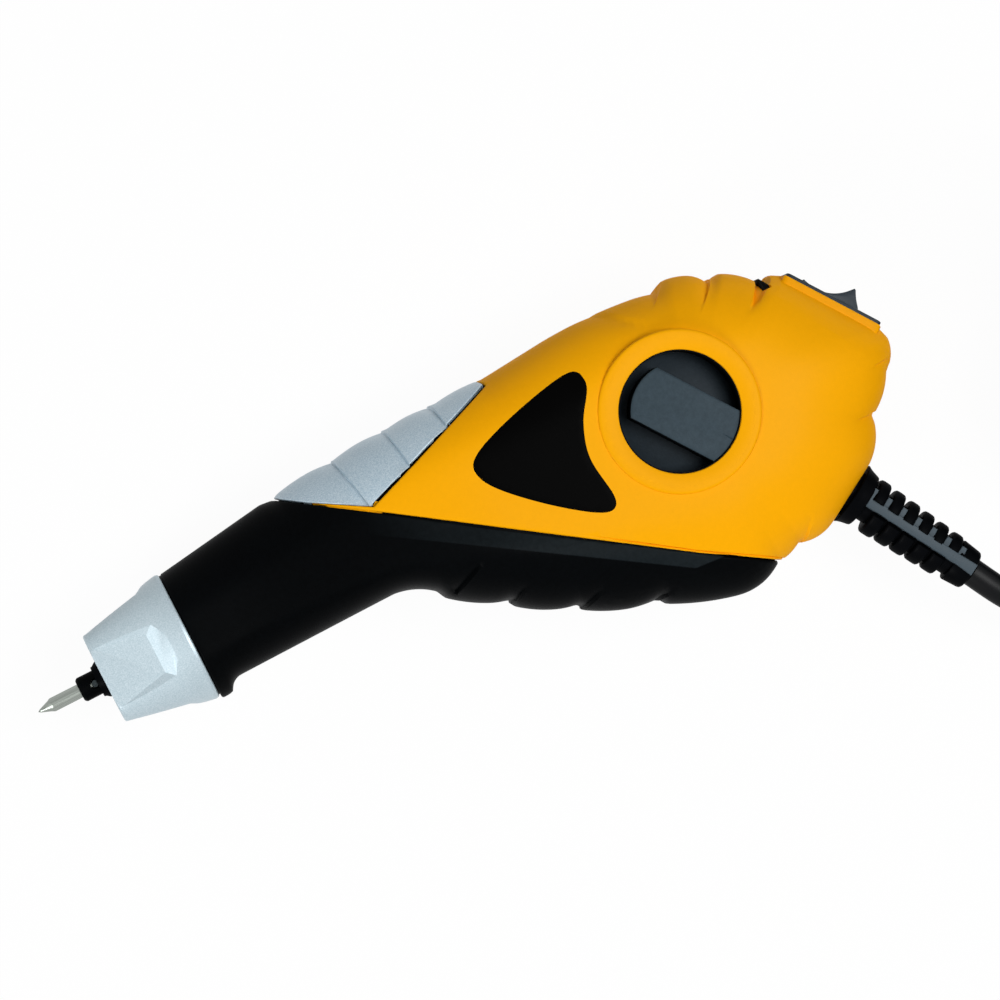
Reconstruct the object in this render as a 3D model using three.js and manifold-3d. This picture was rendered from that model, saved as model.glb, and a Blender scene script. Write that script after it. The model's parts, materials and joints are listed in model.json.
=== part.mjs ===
// Electric engraving pen, lying on its right side with its mains lead coiled beside it.
// Millimetres, +Z up. While the pieces are made the needle point is the origin and the needle's
// axis is X; the finished pen is then set on its rest face, centred on its own outline.
import * as THREE from 'three';
import { ConvexGeometry } from 'three/addons/geometries/ConvexGeometry.js';
import { mergeVertices } from 'three/addons/utils/BufferGeometryUtils.js';
import Module from 'manifold-3d';

const wasm = await Module();
wasm.setup();

// Clearances and cutting allowances
const gap = 0.3;
const overrun = 30;
const weld = 0.0001;

// Moulded housing: outline, thickness and walls
const shellStart = 35.8;
const shellLength = 162.6;
const shellHeight = 68.7;
const gripHalfThickness = 14.2;
const bodyHalfThickness = 21;
const gripSquareness = 2;
const bodySquareness = 2.6;
const growStartShare = 0.06;
const growEndShare = 0.43;
const wall = 2.4;
const trimDepth = 1.1;
const labelDepth = 0.6;
const outlineStep = 12;
const arcStep = 5;
const bossRadius = 3.4;
const headBossRadius = 4.8;
const ribThickness = 2.2;
const shoulderReach = 7.2;
const rootSeatMargin = 1.2;
const spindleRoom = 1.2;

// Housing screws
const screwRadius = 1.5;
const screwHeadRadius = 2.7;
const screwHeadHeight = 1.8;
const screwHeadSeat = 7;
const screwReach = 7;

// Nose cap
const capFront = 15.5;
const capFrontRadius = 10.5;
const capFrontEdge = 0.6;
const capFrontPower = 4;
const capBend = 15.5;
const capBendRadius = 13.8;
const capBendPower = 2.5;
const capRearEdge = 0.8;
const capRingStep = 3.2;
const capRearRadius = 14.6;
const capFaceThickness = 2.6;
const capBore = 8.5;
const neckRadius = 11;
const neckLength = 6.2;
const pocketFloorRadius = 11.75;
const pocketFrontRadius = 9.9;
const pocketRearHalf = 4.35;
const pocketFrontHalf = 7;
const pocketLength = 12.1;
const pocketRearReach = 8;
const pocketRearSpread = 7.4;
const pocketRearLift = 4.72;
const pocketFrontSpread = 11.9;
const pocketFrontLift = 4.6;
const pocketCount = 4;

// Needle, its holder and the spindle that drives it
const needleRadius = 1.525;
const needleLength = 20;
const needlePoint = 3.4;
const needleFlatDepth = 0.25;
const needleTurnShare = 0.24;
const needleFacetShares = [0.45, 0.75];
const holderFront = 9.8;
const holderRadius = 2.75;
const holderLength = 5.1;
const holderEdge = 0.4;
const setScrewInset = 0.1;
const setScrewRadius = 0.8;
const setScrewPlace = 13.4;
const bootRadius = 4.2;
const bootLipRadius = 3.5;
const bootReach = 1.6;
const bootCollar = 1.5;
const bootEdge = 0.2;
const spindleRadius = 3;
const bushRadius = 8.1;
const bushLength = 7;
const guidePlace = 66;
const guideRadius = 6;
const guideLength = 7;
const guideFlangeRadius = 7.5;
const guideFlangeThickness = 1.8;
const springStart = 41;
const springRadius = 4;
const springWire = 0.55;
const springTurns = 6;
const collarRadius = 5.2;
const collarLength = 3;
const springEndGap = 0.4;

// Electromagnet
const armatureShare = 0.3063;
const armatureThickness = 6;
const spindleStub = 2;
const armatureHeight = 23;
const armatureWidth = 13;
const armatureAirGap = 1.4;
const coreLength = 30;
const coreHeight = 28;
const coreWidth = 13;
const coreLeg = 4.4;
const coreCentreLeg = 7.6;
const bobbinWall = 0.8;
const bobbinHalfHeight = 9.2;
const bobbinHalfWidth = 10.4;
const bobbinFlange = 1.2;
const windingInset = 0.7;

// Depth dial, its cam and the stop that it moves
const dialPlaceShare = [0.689, -0.064];
const dialOpening = 13;
const dialClearance = 0.35;
const dialRingRadius = 17.4;
const dialRingRise = 0.4;
const dialChamfer = 0.8;
const dialFloor = 15.2;
const dialDisc = 1.6;
const dialFlangeRadius = 14.5;
const dialFlangeThickness = 1.2;
const dialBarWidth = 12;
const dialBarRise = 6.4;
const dialBarBack = 11;
const dialNotch = 1.6;
const dialStemRadius = 3.8;
const dialStemBottom = 4;
const dialPostRadius = 2.4;
const dialPostTop = 10;
const sleeveWall = 1.8;
const camRadius = 8;
const camThickness = 2.6;
const camRise = 0.7;
const dialSwing = 0.75 * Math.PI;
const sliderWidth = 8;
const sliderThickness = 2;
const sliderUnderside = 11.2;
const sliderFoot = 2.4;
const sliderFootGap = 1.3;
const sliderFootLift = 1.5;

// Rocker switch
const bezelLength = 23.1;
const bezelWidth = 15;
const bezelThickness = 1.5;
const bezelProud = 0.3;
const switchBodyLength = 19.4;
const switchBodyWidth = 12.4;
const switchBodyDepth = 12.5;
const rockerRadius = 7.3;
const rockerWidth = 10.4;
const rockerPivotDepth = 3;
const rockerTilt = THREE.MathUtils.degToRad(17.4);
const rockerFlank = THREE.MathUtils.degToRad(25);
const rockerSkirt = THREE.MathUtils.degToRad(-8);
const rockerTipReach = 5.6;
const rockerTipRise = 5.8;
const rockerDip = 4.2;
const rockerWellShare = 0.95;
const terminalLength = 7;
const terminalWidth = 4.8;
const terminalThickness = 0.8;

// Strain relief, lead and plug
const cordDiameter = 6.2;
const cordLength = 1800;
const reliefRootRadius = 7.1;
const reliefNeckRadius = 5.2;
const reliefFlangeRadius = 7;
const reliefFlangeThickness = 2;
const reliefLength = 31.4;
const reliefRootLength = 3.4;
const reliefCoreRadius = 4.3;
const reliefTipRadius = 4.5;
const reliefTipLength = 4.5;
const reliefRibs = 6;
const reliefRibThickness = 3.3;
const reliefRibRadius = 6.2;
const reliefRibTipRadius = 5.2;
const reliefSpineWidth = 3.6;
const reliefRootDraft = 0.9;
const reliefDraft = 0.3;
const reliefEdge = 0.5;
const innerLeadLength = 24;
const clampSetback = 16;
const clampWidth = 21;
const clampDepth = 6;
const clampThickness = 2;
const clampPostRadius = 2.9;
const clampPostSpacing = clampWidth / 2 - clampPostRadius;
const clampScrewRadius = 1.2;
const clampScrewHead = 2.3;
const clampScrewReach = 7;
const clampHeadHeight = 1.5;
const clampSlotDepth = 0.7;
const coilCentre = [265, -49.5];
const coilOuterRadius = 38.7;
const coilGap = 0.7;
const coilLift = 0.1;
const coilLayers = 4;
const coilLayerTurns = 1.945;
const coilLoopSteps = 24;
const coilLastTurnShare = 0.25;
const tailRadius = 27;
const tailTurn = THREE.MathUtils.degToRad(126);
const plugLength = 34;
const plugWidth = 35.3;
const plugThickness = 13.7;
const plugEdge = 2.4;
// Places along the plug's length, and its width and thickness there, as shares of its full sizes
const plugShares = [[0, 0.37, 0.75], [0.45, 0.45, 0.9], [0.8, 1, 1], [1, 1, 1]];
const plugPinRadius = 2;
const plugPinLength = 19;
const plugPinSpacing = 18.2;

// The housing's outline, clockwise from the front of the grip: x and y as shares of the shell's
// length and height, and how far the stretch that follows bulges out, as a share of its chord
const bezelFrontShare = [0.909, 0.162];
const bezelRearShare = [0.992, -0.111];
const rootRearShare = [0.901, -0.49];
const rootFrontShare = [0.825, -0.595];
const outlineShares = [
  [-0.073, 0.208, 0],
  [0, 0.208, 0],
  [0.157, 0.261, 0],
  [0.176, 0.256, 0],
  [0.183, 0.266, 0.04],
  [0.269, 0.281, 0.04],
  [0.352, 0.293, 0.04],
  [0.423, 0.295, 0.04],
  [0.491, 0.297, 0],
  [0.586, 0.317, 0.03],
  [0.747, 0.298, 0],
  [0.765, 0.317, 0.1],
  [0.82, 0.252, 0],
  [0.834, 0.258, 0.08],
  [0.88, 0.16, 0],
  [0.893, 0.183, 0],
  [...bezelFrontShare, 0],
  [...bezelRearShare, 0],
  [0.999, -0.163, 0.12],
  [0.976, -0.256, 0.08],
  [0.933, -0.36, 0.1],
  [...rootRearShare, 0],
  [...rootFrontShare, 0.12],
  [0.769, -0.61, 0.06],
  [0.732, -0.633, 0.12],
  [0.662, -0.667, 0.03],
  [0.577, -0.592, 0],
  [0.572, -0.571, 0.06],
  [0.474, -0.489, 0],
  [0.469, -0.467, 0.06],
  [0.397, -0.384, 0],
  [0.391, -0.358, 0.05],
  [0.32, -0.261, 0],
  [0.315, -0.233, -0.08],
  [0.261, -0.175, 0],
  [0.033, -0.182, -0.15],
  [0.017, -0.217, 0.05],
  [0.001, -0.22, 0],
  [-0.073, -0.22, 0],
];
const spineStartShare = -0.036;
const spineStations = 8;
const seamShares = [[0.176, 0.256], [0.274, 0.112], [0.737, -0.639]];
const trimBackShare = [0.491, 0.286];
const labelShares = [
  [0.596, 0.19], [0.598, 0.14], [0.572, 0.044], [0.558, -0.061], [0.564, -0.216], [0.558, -0.24],
  [0.542, -0.234], [0.468, -0.104], [0.421, 0.019], [0.417, 0.072], [0.429, 0.1], [0.489, 0.153],
  [0.581, 0.197],
];
const screwShares = [[0.087, 0.154], [0.469, -0.349], [0.598, 0.218], [0.807, 0.16], [0.764, -0.509]];

// The lead's free stretch, from the strain relief down to the coil: points chosen by hand
const leadRoute = [
  [192.11, -64.69, 0], [193.6, -67.4, -0.1], [195.4, -70.5, -0.5], [197.6, -73.7, -1.4],
  [200.3, -76.9, -2.9], [203.5, -79.9, -5.0], [207.4, -82.5, -7.6], [212.0, -84.7, -10.3],
  [217.4, -86.4, -12.8], [223.4, -87.4, -14.9], [229.8, -88.0, -16.4], [236.4, -88.2, -17.3],
  [243.0, -88.2, -17.7], [250.6, -88.2, -17.8], [258.5, -88.2, -17.8],
];

const leadRadius = cordDiameter / 2;
const floorLevel = -bodyHalfThickness;

function finish(color, roughness, metalness) {
  return new THREE.MeshStandardMaterial({ color, roughness, metalness });
}

const orangePlastic = finish(0xfaa80f, 0.5, 0);
const blackPlastic = finish(0x0b0d10, 0.6, 0);
const silverPaint = finish(0xacbcc4, 0.4, 0.6);
const greyPlastic = finish(0x3e4b54, 0.55, 0);
const blackRubber = finish(0x101316, 0.8, 0);
const steel = finish(0xaab2af, 0.3, 1);
const bronze = finish(0xb0793a, 0.4, 1);
const copper = finish(0xb5622d, 0.35, 1);
const whitePlastic = finish(0xe8e6dc, 0.6, 0);

// Meshes to solids and back

function toSolid(geometry) {
  const bare = geometry.clone();
  bare.deleteAttribute('normal');
  bare.deleteAttribute('uv');
  const merged = mergeVertices(bare, weld);
  const vertProperties = new Float32Array(merged.attributes.position.array);
  const triVerts = new Uint32Array(merged.index.array);
  return new wasm.Manifold(new wasm.Mesh({ numProp: 3, vertProperties, triVerts }));
}

function toGeometry(solid) {
  const { vertProperties, triVerts } = solid.getMesh();
  const geometry = new THREE.BufferGeometry();
  geometry.setAttribute('position', new THREE.BufferAttribute(new Float32Array(vertProperties), 3));
  geometry.setIndex(new THREE.BufferAttribute(new Uint32Array(triVerts), 1));
  geometry.computeVertexNormals();
  return geometry;
}

function add(group, name, shape, material) {
  const geometry = shape.isBufferGeometry ? shape : toGeometry(shape);
  const mesh = new THREE.Mesh(geometry, material);
  mesh.name = name;
  group.add(mesh);
  return mesh;
}

// Basic shapes, each given in the place where it is used

function prism(points, low, high) {
  const shape = new THREE.Shape(points.map(([x, y]) => new THREE.Vector2(x, y)));
  const geometry = new THREE.ExtrudeGeometry(shape, { depth: high - low, bevelEnabled: false });
  return geometry.translate(0, 0, low);
}

function box(x, y, z) {
  const geometry = new THREE.BoxGeometry(x[1] - x[0], y[1] - y[0], z[1] - z[0]);
  return geometry.translate((x[0] + x[1]) / 2, (y[0] + y[1]) / 2, (z[0] + z[1]) / 2);
}

function post(x, y, radius, low, high, sides = 16) {
  const geometry = new THREE.CylinderGeometry(radius, radius, high - low, sides);
  return geometry.rotateX(Math.PI / 2).translate(x, y, (low + high) / 2);
}

// A turned piece about the X axis from pairs of place and radius
function turned(profile, sides = 32) {
  const points = profile.map(([along, radius]) => new THREE.Vector2(radius, along));
  if (THREE.ShapeUtils.area(points) < 0) {
    points.reverse();
  }
  return new THREE.LatheGeometry(points, sides).rotateZ(-Math.PI / 2);
}

function ring(start, end, inner, outer, sides = 32) {
  return turned([[start, inner], [start, outer], [end, outer], [end, inner], [start, inner]], sides);
}

function rod(start, end, radius, sides = 24) {
  return turned([[end, 0], [end, radius], [start, radius], [start, 0]], sides);
}

// Each edge of a loop moved out by a distance, and the corners set where the moved edges meet
function grow(points, distance) {
  const area = THREE.ShapeUtils.area(points.map(([x, y]) => new THREE.Vector2(x, y)));
  const side = Math.sign(area);
  return points.map(([x, y], i) => {
    const before = points[(i + points.length - 1) % points.length];
    const after = points[(i + 1) % points.length];
    const into = new THREE.Vector2(x - before[0], y - before[1]).normalize();
    const out = new THREE.Vector2(after[0] - x, after[1] - y).normalize();
    const normal = new THREE.Vector2(into.y + out.y, -into.x - out.x);
    const scale = (2 * side * distance) / normal.lengthSq();
    return [x + normal.x * scale, y + normal.y * scale];
  });
}

function at([x, y]) {
  return [shellStart + x * shellLength, y * shellHeight];
}

// Housing skin

// The outline as a counter-clockwise loop, arcs and long stretches cut into short chords
function traceOutline() {
  const corners = outlineShares.map((share) => new THREE.Vector2(...at(share)));
  const points = [];
  corners.forEach((corner, i) => {
    const bulge = outlineShares[i][2];
    const chord = corners[(i + 1) % corners.length].clone().sub(corner);
    const outward = new THREE.Vector2(-chord.y, chord.x);
    const steps = Math.max(1, Math.round(chord.length() / (bulge === 0 ? outlineStep : arcStep)));
    for (let k = 0; k < steps; k += 1) {
      const share = k / steps;
      const rise = 4 * bulge * share * (1 - share);
      points.push(corner.clone().addScaledVector(chord, share).addScaledVector(outward, rise));
    }
  });
  return points.reverse();
}

// The outline with its ribs and finger grooves averaged away over a stretch each side
function smoothOutline(points, reach) {
  const samples = 6;
  const closed = [...points, points[0]];
  const lengths = [0];
  for (let i = 1; i < closed.length; i += 1) {
    lengths.push(lengths[i - 1] + closed[i].distanceTo(closed[i - 1]));
  }
  const total = lengths[points.length];
  function pointAt(distance) {
    const wrapped = ((distance % total) + total) % total;
    const i = Math.max(1, lengths.findIndex((length) => length >= wrapped));
    const share = (wrapped - lengths[i - 1]) / (lengths[i] - lengths[i - 1]);
    return closed[i - 1].clone().lerp(closed[i], share);
  }
  return points.map((point, i) => {
    const mean = new THREE.Vector2();
    for (let k = -samples; k <= samples; k += 1) {
      mean.add(pointAt(lengths[i] + (k / samples) * reach));
    }
    return mean.divideScalar(2 * samples + 1);
  });
}

const rim = traceOutline();
const shoulder = smoothOutline(rim, shoulderReach);
const dialPlace = new THREE.Vector2(...at(dialPlaceShare));
const spineStart = new THREE.Vector2(shellStart + spineStartShare * shellLength, 0);

function nearestOnSpine(point) {
  const run = dialPlace.clone().sub(spineStart);
  const share = point.clone().sub(spineStart).dot(run) / run.lengthSq();
  return spineStart.clone().addScaledVector(run, THREE.MathUtils.clamp(share, 0, 1));
}

// Where the skin stands for one outline point at one angle up from the rim, 0, to the side face;
// the grooves of the outline fade out on the way up
const ringAngles = [0, 14, 29, 44, 57, 69].map(THREE.MathUtils.degToRad);
const hollowAngles = ringAngles.filter((angle, i) => i !== 1 && i !== 3);
const faceAngle = ringAngles[ringAngles.length - 1];

function grownAt(x) {
  return THREE.MathUtils.smoothstep((x - shellStart) / shellLength, growStartShare, growEndShare);
}

function halfThicknessAt(x) {
  return THREE.MathUtils.lerp(gripHalfThickness, bodyHalfThickness, grownAt(x));
}

function stationOf(i) {
  const anchor = nearestOnSpine(shoulder[i]);
  return Math.round(spineStations * (anchor.x - spineStart.x) / (dialPlace.x - spineStart.x));
}

function skinPoint(i, angle, depth) {
  const anchor = nearestOnSpine(shoulder[i]);
  const half = halfThicknessAt(anchor.x) - depth;
  const power = 2 / THREE.MathUtils.lerp(gripSquareness, bodySquareness, grownAt(anchor.x));
  const out = shoulder[i].clone().lerp(rim[i], Math.cos(angle) ** 4).sub(anchor);
  out.setLength(out.length() - depth).multiplyScalar(Math.cos(angle) ** power);
  const height = half * (Math.sin(angle) / Math.sin(faceAngle)) ** power;
  return new THREE.Vector3(anchor.x + out.x, anchor.y + out.y, height);
}

// Closed skin of the housing, set in by a depth: rings from the right side face, over the rim at
// mid thickness, to the left side face; each side face closes on stations along the spine
function skin(depth, angles = ringAngles) {
  const levels = [...angles.slice(1).reverse().map((angle) => -angle), ...angles];
  const vertices = levels.flatMap((level) => rim.flatMap((point, i) => {
    const { x, y, z } = skinPoint(i, Math.abs(level), depth);
    return [x, y, Math.sign(level) * z];
  }));
  const count = rim.length;
  const faces = [];
  for (let level = 0; level < levels.length - 1; level += 1) {
    for (let i = 0; i < count; i += 1) {
      const a = level * count + i;
      const b = level * count + ((i + 1) % count);
      faces.push(a, b, b + count, a, b + count, a + count);
    }
  }
  [-1, 1].forEach((side) => {
    const firstStation = vertices.length / 3;
    for (let k = 0; k <= spineStations; k += 1) {
      const station = spineStart.clone().lerp(dialPlace, k / spineStations);
      vertices.push(station.x, station.y, side * (halfThicknessAt(station.x) - depth));
    }
    const row = side < 0 ? 0 : (levels.length - 1) * count;
    for (let i = 0; i < count; i += 1) {
      const a = row + i;
      const b = row + ((i + 1) % count);
      const nearA = firstStation + stationOf(i);
      const nearB = firstStation + stationOf((i + 1) % count);
      faces.push(...(side > 0 ? [a, b, nearA] : [b, a, nearA]));
      if (nearA !== nearB) {
        faces.push(...(side > 0 ? [b, nearB, nearA] : [nearB, b, nearA]));
      }
    }
  });
  const geometry = new THREE.BufferGeometry();
  geometry.setAttribute('position', new THREE.Float32BufferAttribute(vertices, 3));
  geometry.setIndex(faces);
  return toSolid(geometry);
}

// Places worked out from the outline

const bezelFront = new THREE.Vector2(...at(bezelFrontShare));
const bezelRear = new THREE.Vector2(...at(bezelRearShare));
const switchPlace = bezelFront.clone().lerp(bezelRear, 0.5);
const switchTurn = bezelRear.clone().sub(bezelFront).angle();
const rootRear = new THREE.Vector2(...at(rootRearShare));
const rootFront = new THREE.Vector2(...at(rootFrontShare));
const rootPlace = rootRear.clone().lerp(rootFront, 0.5);
const rootTurn = rootFront.clone().sub(rootRear).angle() + Math.PI / 2;

// A place and a turn about Z, as a matrix for cutters and as a group for finished pieces
function placed(place, turn) {
  return new THREE.Matrix4().makeRotationZ(turn).setPosition(place.x, place.y, 0);
}

function placedGroup(place, turn) {
  const group = new THREE.Group();
  group.position.set(place.x, place.y, 0);
  group.rotation.z = turn;
  return group;
}

const switchFrameMatrix = placed(switchPlace, switchTurn);
const rootMatrix = placed(rootPlace, rootTurn);
const dialMatrix = placed(dialPlace, 0);

const armatureFront = shellStart + armatureShare * shellLength;
const spindleEnd = armatureFront + spindleStub;
const coreFront = armatureFront + armatureThickness + armatureAirGap;
const coreBack = coreFront + coreLength;
const bobbinBack = coreBack - coreLeg - gap;
const sliderTop = sliderUnderside + sliderThickness;
const sliderStart = armatureFront - sliderFootGap - sliderFoot;
const sliderEnd = dialPlace.x - camRadius - gap;
const sliderPlace = dialPlace.y / 2;
const guideFront = guidePlace - guideFlangeThickness;
const ribPlaces = [guidePlace + gap, coreFront + ribThickness, coreBack - ribThickness - gap];
const sleeveBottom = dialFloor + gap;
const clampPlace = -clampSetback;

// Housing

function keepAllZ(points) {
  return toSolid(prism(points, -2 * overrun, 2 * overrun));
}

function seamLine(lift) {
  const [top, knee, end] = seamShares.map(at);
  const before = [top[0] - (knee[0] - top[0]) * 4, top[1] - (knee[1] - top[1]) * 4];
  const after = [2 * end[0] - knee[0], 2 * end[1] - knee[1]];
  return [before, top, knee, end, after].map(([x, y]) => [x, y + lift]);
}

function blackRegion() {
  const line = seamLine(0);
  const last = line[line.length - 1];
  return [...line, [last[0], last[1] - overrun], [-overrun, last[1] - overrun], [-overrun, line[0][1]]];
}

function orangeRegion() {
  const line = seamLine(1.2 * gap);
  const last = line[line.length - 1];
  const right = last[0] + overrun;
  return [...line, [right, last[1]], [right, line[0][1]]];
}

// The silver trim's outline: up the seam from the top, round its knee and back up to the top
function trimRegion() {
  const [top, knee] = seamLine(1.2 * gap).slice(1, 3);
  const back = at(trimBackShare);
  const above = shellHeight;
  const front = [top[0] + (top[0] - knee[0]) / 2, top[1] + (top[1] - knee[1]) / 2];
  const beyond = [back[0] + (back[0] - knee[0]) / 2, back[1] + (back[1] - knee[1]) / 2];
  return [front, knee, beyond, [beyond[0], above], [front[0], above]];
}

function labelRegion() {
  const corners = labelShares.map(at).map(([x, y]) => new THREE.Vector3(x, y, 0));
  const curve = new THREE.CatmullRomCurve3(corners, true, 'centripetal');
  return curve.getPoints(2 * corners.length).slice(0, -1).map(({ x, y }) => [x, y]);
}

function housingSkin() {
  const frontCut = box([-overrun, shellStart], [-shellHeight, shellHeight], [-overrun, overrun]);
  const bezelCut = box(
    [-bezelLength / 2 - gap, bezelLength / 2 + gap],
    [bezelProud - bezelThickness - gap, overrun],
    [-overrun, overrun],
  );
  const seatRadius = reliefRootRadius + rootSeatMargin;
  const rootSeat = turned(
    [[overrun, 0], [overrun, seatRadius], [0, seatRadius], [0, 0]],
    24,
  );
  const dialRing = post(0, 0, dialRingRadius, dialFloor, bodyHalfThickness + dialRingRise, 40);
  return skin(0)
    .subtract(toSolid(frontCut))
    .subtract(toSolid(bezelCut.applyMatrix4(switchFrameMatrix)))
    .subtract(toSolid(rootSeat.applyMatrix4(rootMatrix)))
    .add(toSolid(dialRing.applyMatrix4(dialMatrix)));
}

// What is left standing inside the housing: ribs, screw bosses, the front ring, the dial's sleeve
// and post, and the lead clamp's posts
function innerFrame() {
  const parts = [];
  const tall = [-shellHeight, shellHeight];
  const deep = [-overrun, overrun];
  ribPlaces.forEach((place) => parts.push(box([place, place + ribThickness], tall, deep)));
  parts.push(box([shellStart - overrun, shellStart + wall + gap], tall, deep));
  screwShares.map(at).forEach(([x, y]) => {
    parts.push(post(x, y, bossRadius, 0, overrun));
    parts.push(post(x, y, headBossRadius, -overrun, 0));
  });
  parts.push(post(dialPlace.x, dialPlace.y, dialOpening + sleeveWall, sleeveBottom, overrun, 40));
  parts.push(post(dialPlace.x, dialPlace.y, dialPostRadius, -overrun, dialPostTop));
  parts.push(post(dialPlace.x, dialPlace.y, dialStemRadius, -overrun, dialStemBottom - gap));
  [-1, 1].forEach((side) => {
    const clampPost = post(clampPlace, side * clampPostSpacing, clampPostRadius, -overrun, -gap / 2);
    parts.push(clampPost.applyMatrix4(rootMatrix));
  });
  return parts.map(toSolid).reduce((whole, next) => whole.add(next));
}

// Openings through the ribs: for the spindle, its guide, the electromagnet and the sliding stop
function ribWindows() {
  const halfCore = coreHeight / 2 + gap;
  const rootRoom = rod(-innerLeadLength, -wall - gap, reliefFlangeRadius + gap);
  const parts = [
    rootRoom.applyMatrix4(rootMatrix),
    rod(shellStart - overrun, shellStart + 2 * wall, neckRadius - wall - gap, 32),
    rod(guidePlace, guidePlace + guideLength, guideRadius + gap),
    rod(guidePlace, coreFront, spindleRadius + spindleRoom),
    box(
      [coreFront - gap, coreBack + gap],
      [-halfCore, halfCore],
      [-coreWidth / 2 - gap, coreWidth / 2 + gap],
    ),
    box(
      [coreFront - gap, bobbinBack + gap],
      [-bobbinHalfHeight - gap, bobbinHalfHeight + gap],
      [-bobbinHalfWidth - gap, bobbinHalfWidth + gap],
    ),
    box(
      [sliderStart - overrun, sliderEnd],
      [sliderPlace - sliderWidth / 2 - gap, sliderPlace + sliderWidth / 2 + gap],
      [sliderUnderside - gap, sliderTop + gap],
    ),
  ];
  return parts.map(toSolid).reduce((whole, next) => whole.add(next));
}

function screwHoles() {
  const parts = [];
  screwShares.map(at).forEach(([x, y]) => {
    parts.push(post(x, y, screwRadius + gap, -screwHeadSeat - overrun, screwReach + gap, 12));
    parts.push(post(x, y, screwHeadRadius + gap, -screwHeadSeat - overrun, -screwHeadSeat, 16));
  });
  [-1, 1].forEach((side) => {
    const depth = leadRadius - clampScrewReach;
    const hole = post(clampPlace, side * clampPostSpacing, clampScrewRadius + gap, depth, 0, 12);
    parts.push(hole.applyMatrix4(rootMatrix));
  });
  return parts.map(toSolid).reduce((whole, next) => whole.add(next));
}

// Openings to the outside: dial, switch and strain relief
function outerOpenings() {
  const top = bodyHalfThickness + dialRingRise;
  const dialHole = post(0, 0, dialOpening, 0, overrun, 40);
  const chamfer = new THREE.CylinderGeometry(
    dialOpening + 2 * dialChamfer,
    dialOpening,
    2 * dialChamfer,
    40,
  ).rotateX(Math.PI / 2).translate(0, 0, top);
  const switchHole = box(
    [-switchBodyLength / 2 - gap, switchBodyLength / 2 + gap],
    [-switchBodyDepth, overrun],
    [-switchBodyWidth / 2 - gap, switchBodyWidth / 2 + gap],
  );
  const reliefHole = rod(-2 * wall, overrun, reliefNeckRadius + gap);
  return [
    toSolid(dialHole.applyMatrix4(dialMatrix)),
    toSolid(chamfer.applyMatrix4(dialMatrix)),
    toSolid(switchHole.applyMatrix4(switchFrameMatrix)),
    toSolid(reliefHole.applyMatrix4(rootMatrix)),
  ].reduce((whole, next) => whole.add(next));
}

// The neck that the nose cap screws over
function neck() {
  const start = shellStart - gap - neckLength;
  return toSolid(ring(start, shellStart + wall, neckRadius - wall, neckRadius));
}

function addHousing(pen) {
  const outer = housingSkin();
  const hollow = skin(wall, hollowAngles).subtract(innerFrame()).add(ribWindows());
  const leftHalf = toSolid(box([0, shellLength], [-shellHeight, shellHeight], [0, overrun]));
  const label = keepAllZ(labelRegion()).intersect(leftHalf);
  const labelPocket = keepAllZ(grow(labelRegion(), gap)).intersect(leftHalf);
  const trim = keepAllZ(trimRegion());
  const trimPocket = keepAllZ(grow(trimRegion(), gap));
  const shell = outer
    .subtract(hollow)
    .add(neck())
    .subtract(screwHoles())
    .subtract(trimPocket.subtract(skin(trimDepth + gap)))
    .subtract(labelPocket.subtract(skin(labelDepth + gap)));
  const holes = outerOpenings();
  const black = keepAllZ(blackRegion());
  const orange = keepAllZ(orangeRegion());
  const span = [-overrun, 2 * shellLength];
  const left = toSolid(box(span, [-shellLength, shellLength], [gap / 2, overrun]));
  const right = toSolid(box(span, [-shellLength, shellLength], [-overrun, -gap / 2]));
  const open = shell.subtract(holes);
  add(pen, 'left_housing', open.intersect(orange).intersect(left), orangePlastic);
  add(pen, 'right_housing', open.intersect(orange).intersect(right), orangePlastic);
  add(pen, 'left_grip', open.intersect(black).intersect(left), blackPlastic);
  add(pen, 'right_grip', open.intersect(black).intersect(right), blackPlastic);
  add(pen, 'top_trim', skin(0).subtract(skin(trimDepth)).intersect(trim), silverPaint);
  add(pen, 'label_plate', skin(0).subtract(skin(labelDepth)).intersect(label), blackPlastic);
}

// Five screws that close the housing from its right side
function addScrews(pen) {
  screwShares.map(at).forEach(([x, y], i) => {
    const head = -screwHeadSeat - gap - screwHeadHeight;
    const shaft = toSolid(post(x, y, screwRadius, head + screwHeadHeight / 2, screwReach, 8));
    const cap = toSolid(post(x, y, screwHeadRadius, head, -screwHeadSeat - gap, 12));
    const slot = toSolid(box(
      [x - screwHeadRadius, x + screwHeadRadius],
      [y - gap, y + gap],
      [head - gap, head + screwHeadHeight / 2],
    ));
    add(pen, `housing_screw_${i + 1}`, shaft.add(cap).subtract(slot), steel);
  });
}

// Nose

function pocketCutter(turn) {
  const start = capFront - gap;
  const end = capFront + pocketLength;
  const corners = [
    [start, pocketFrontHalf, pocketFrontRadius],
    [start, pocketFrontHalf + pocketFrontSpread, pocketFrontRadius + pocketFrontLift],
    [end, pocketRearHalf, pocketFloorRadius],
    [end + pocketRearReach, pocketRearHalf + pocketRearSpread, pocketFloorRadius + pocketRearLift],
  ];
  const points = corners.flatMap(([x, across, out]) => [
    new THREE.Vector3(x, across, out),
    new THREE.Vector3(x, -across, out),
  ]);
  return toSolid(new ConvexGeometry(points).rotateX(turn));
}

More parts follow.
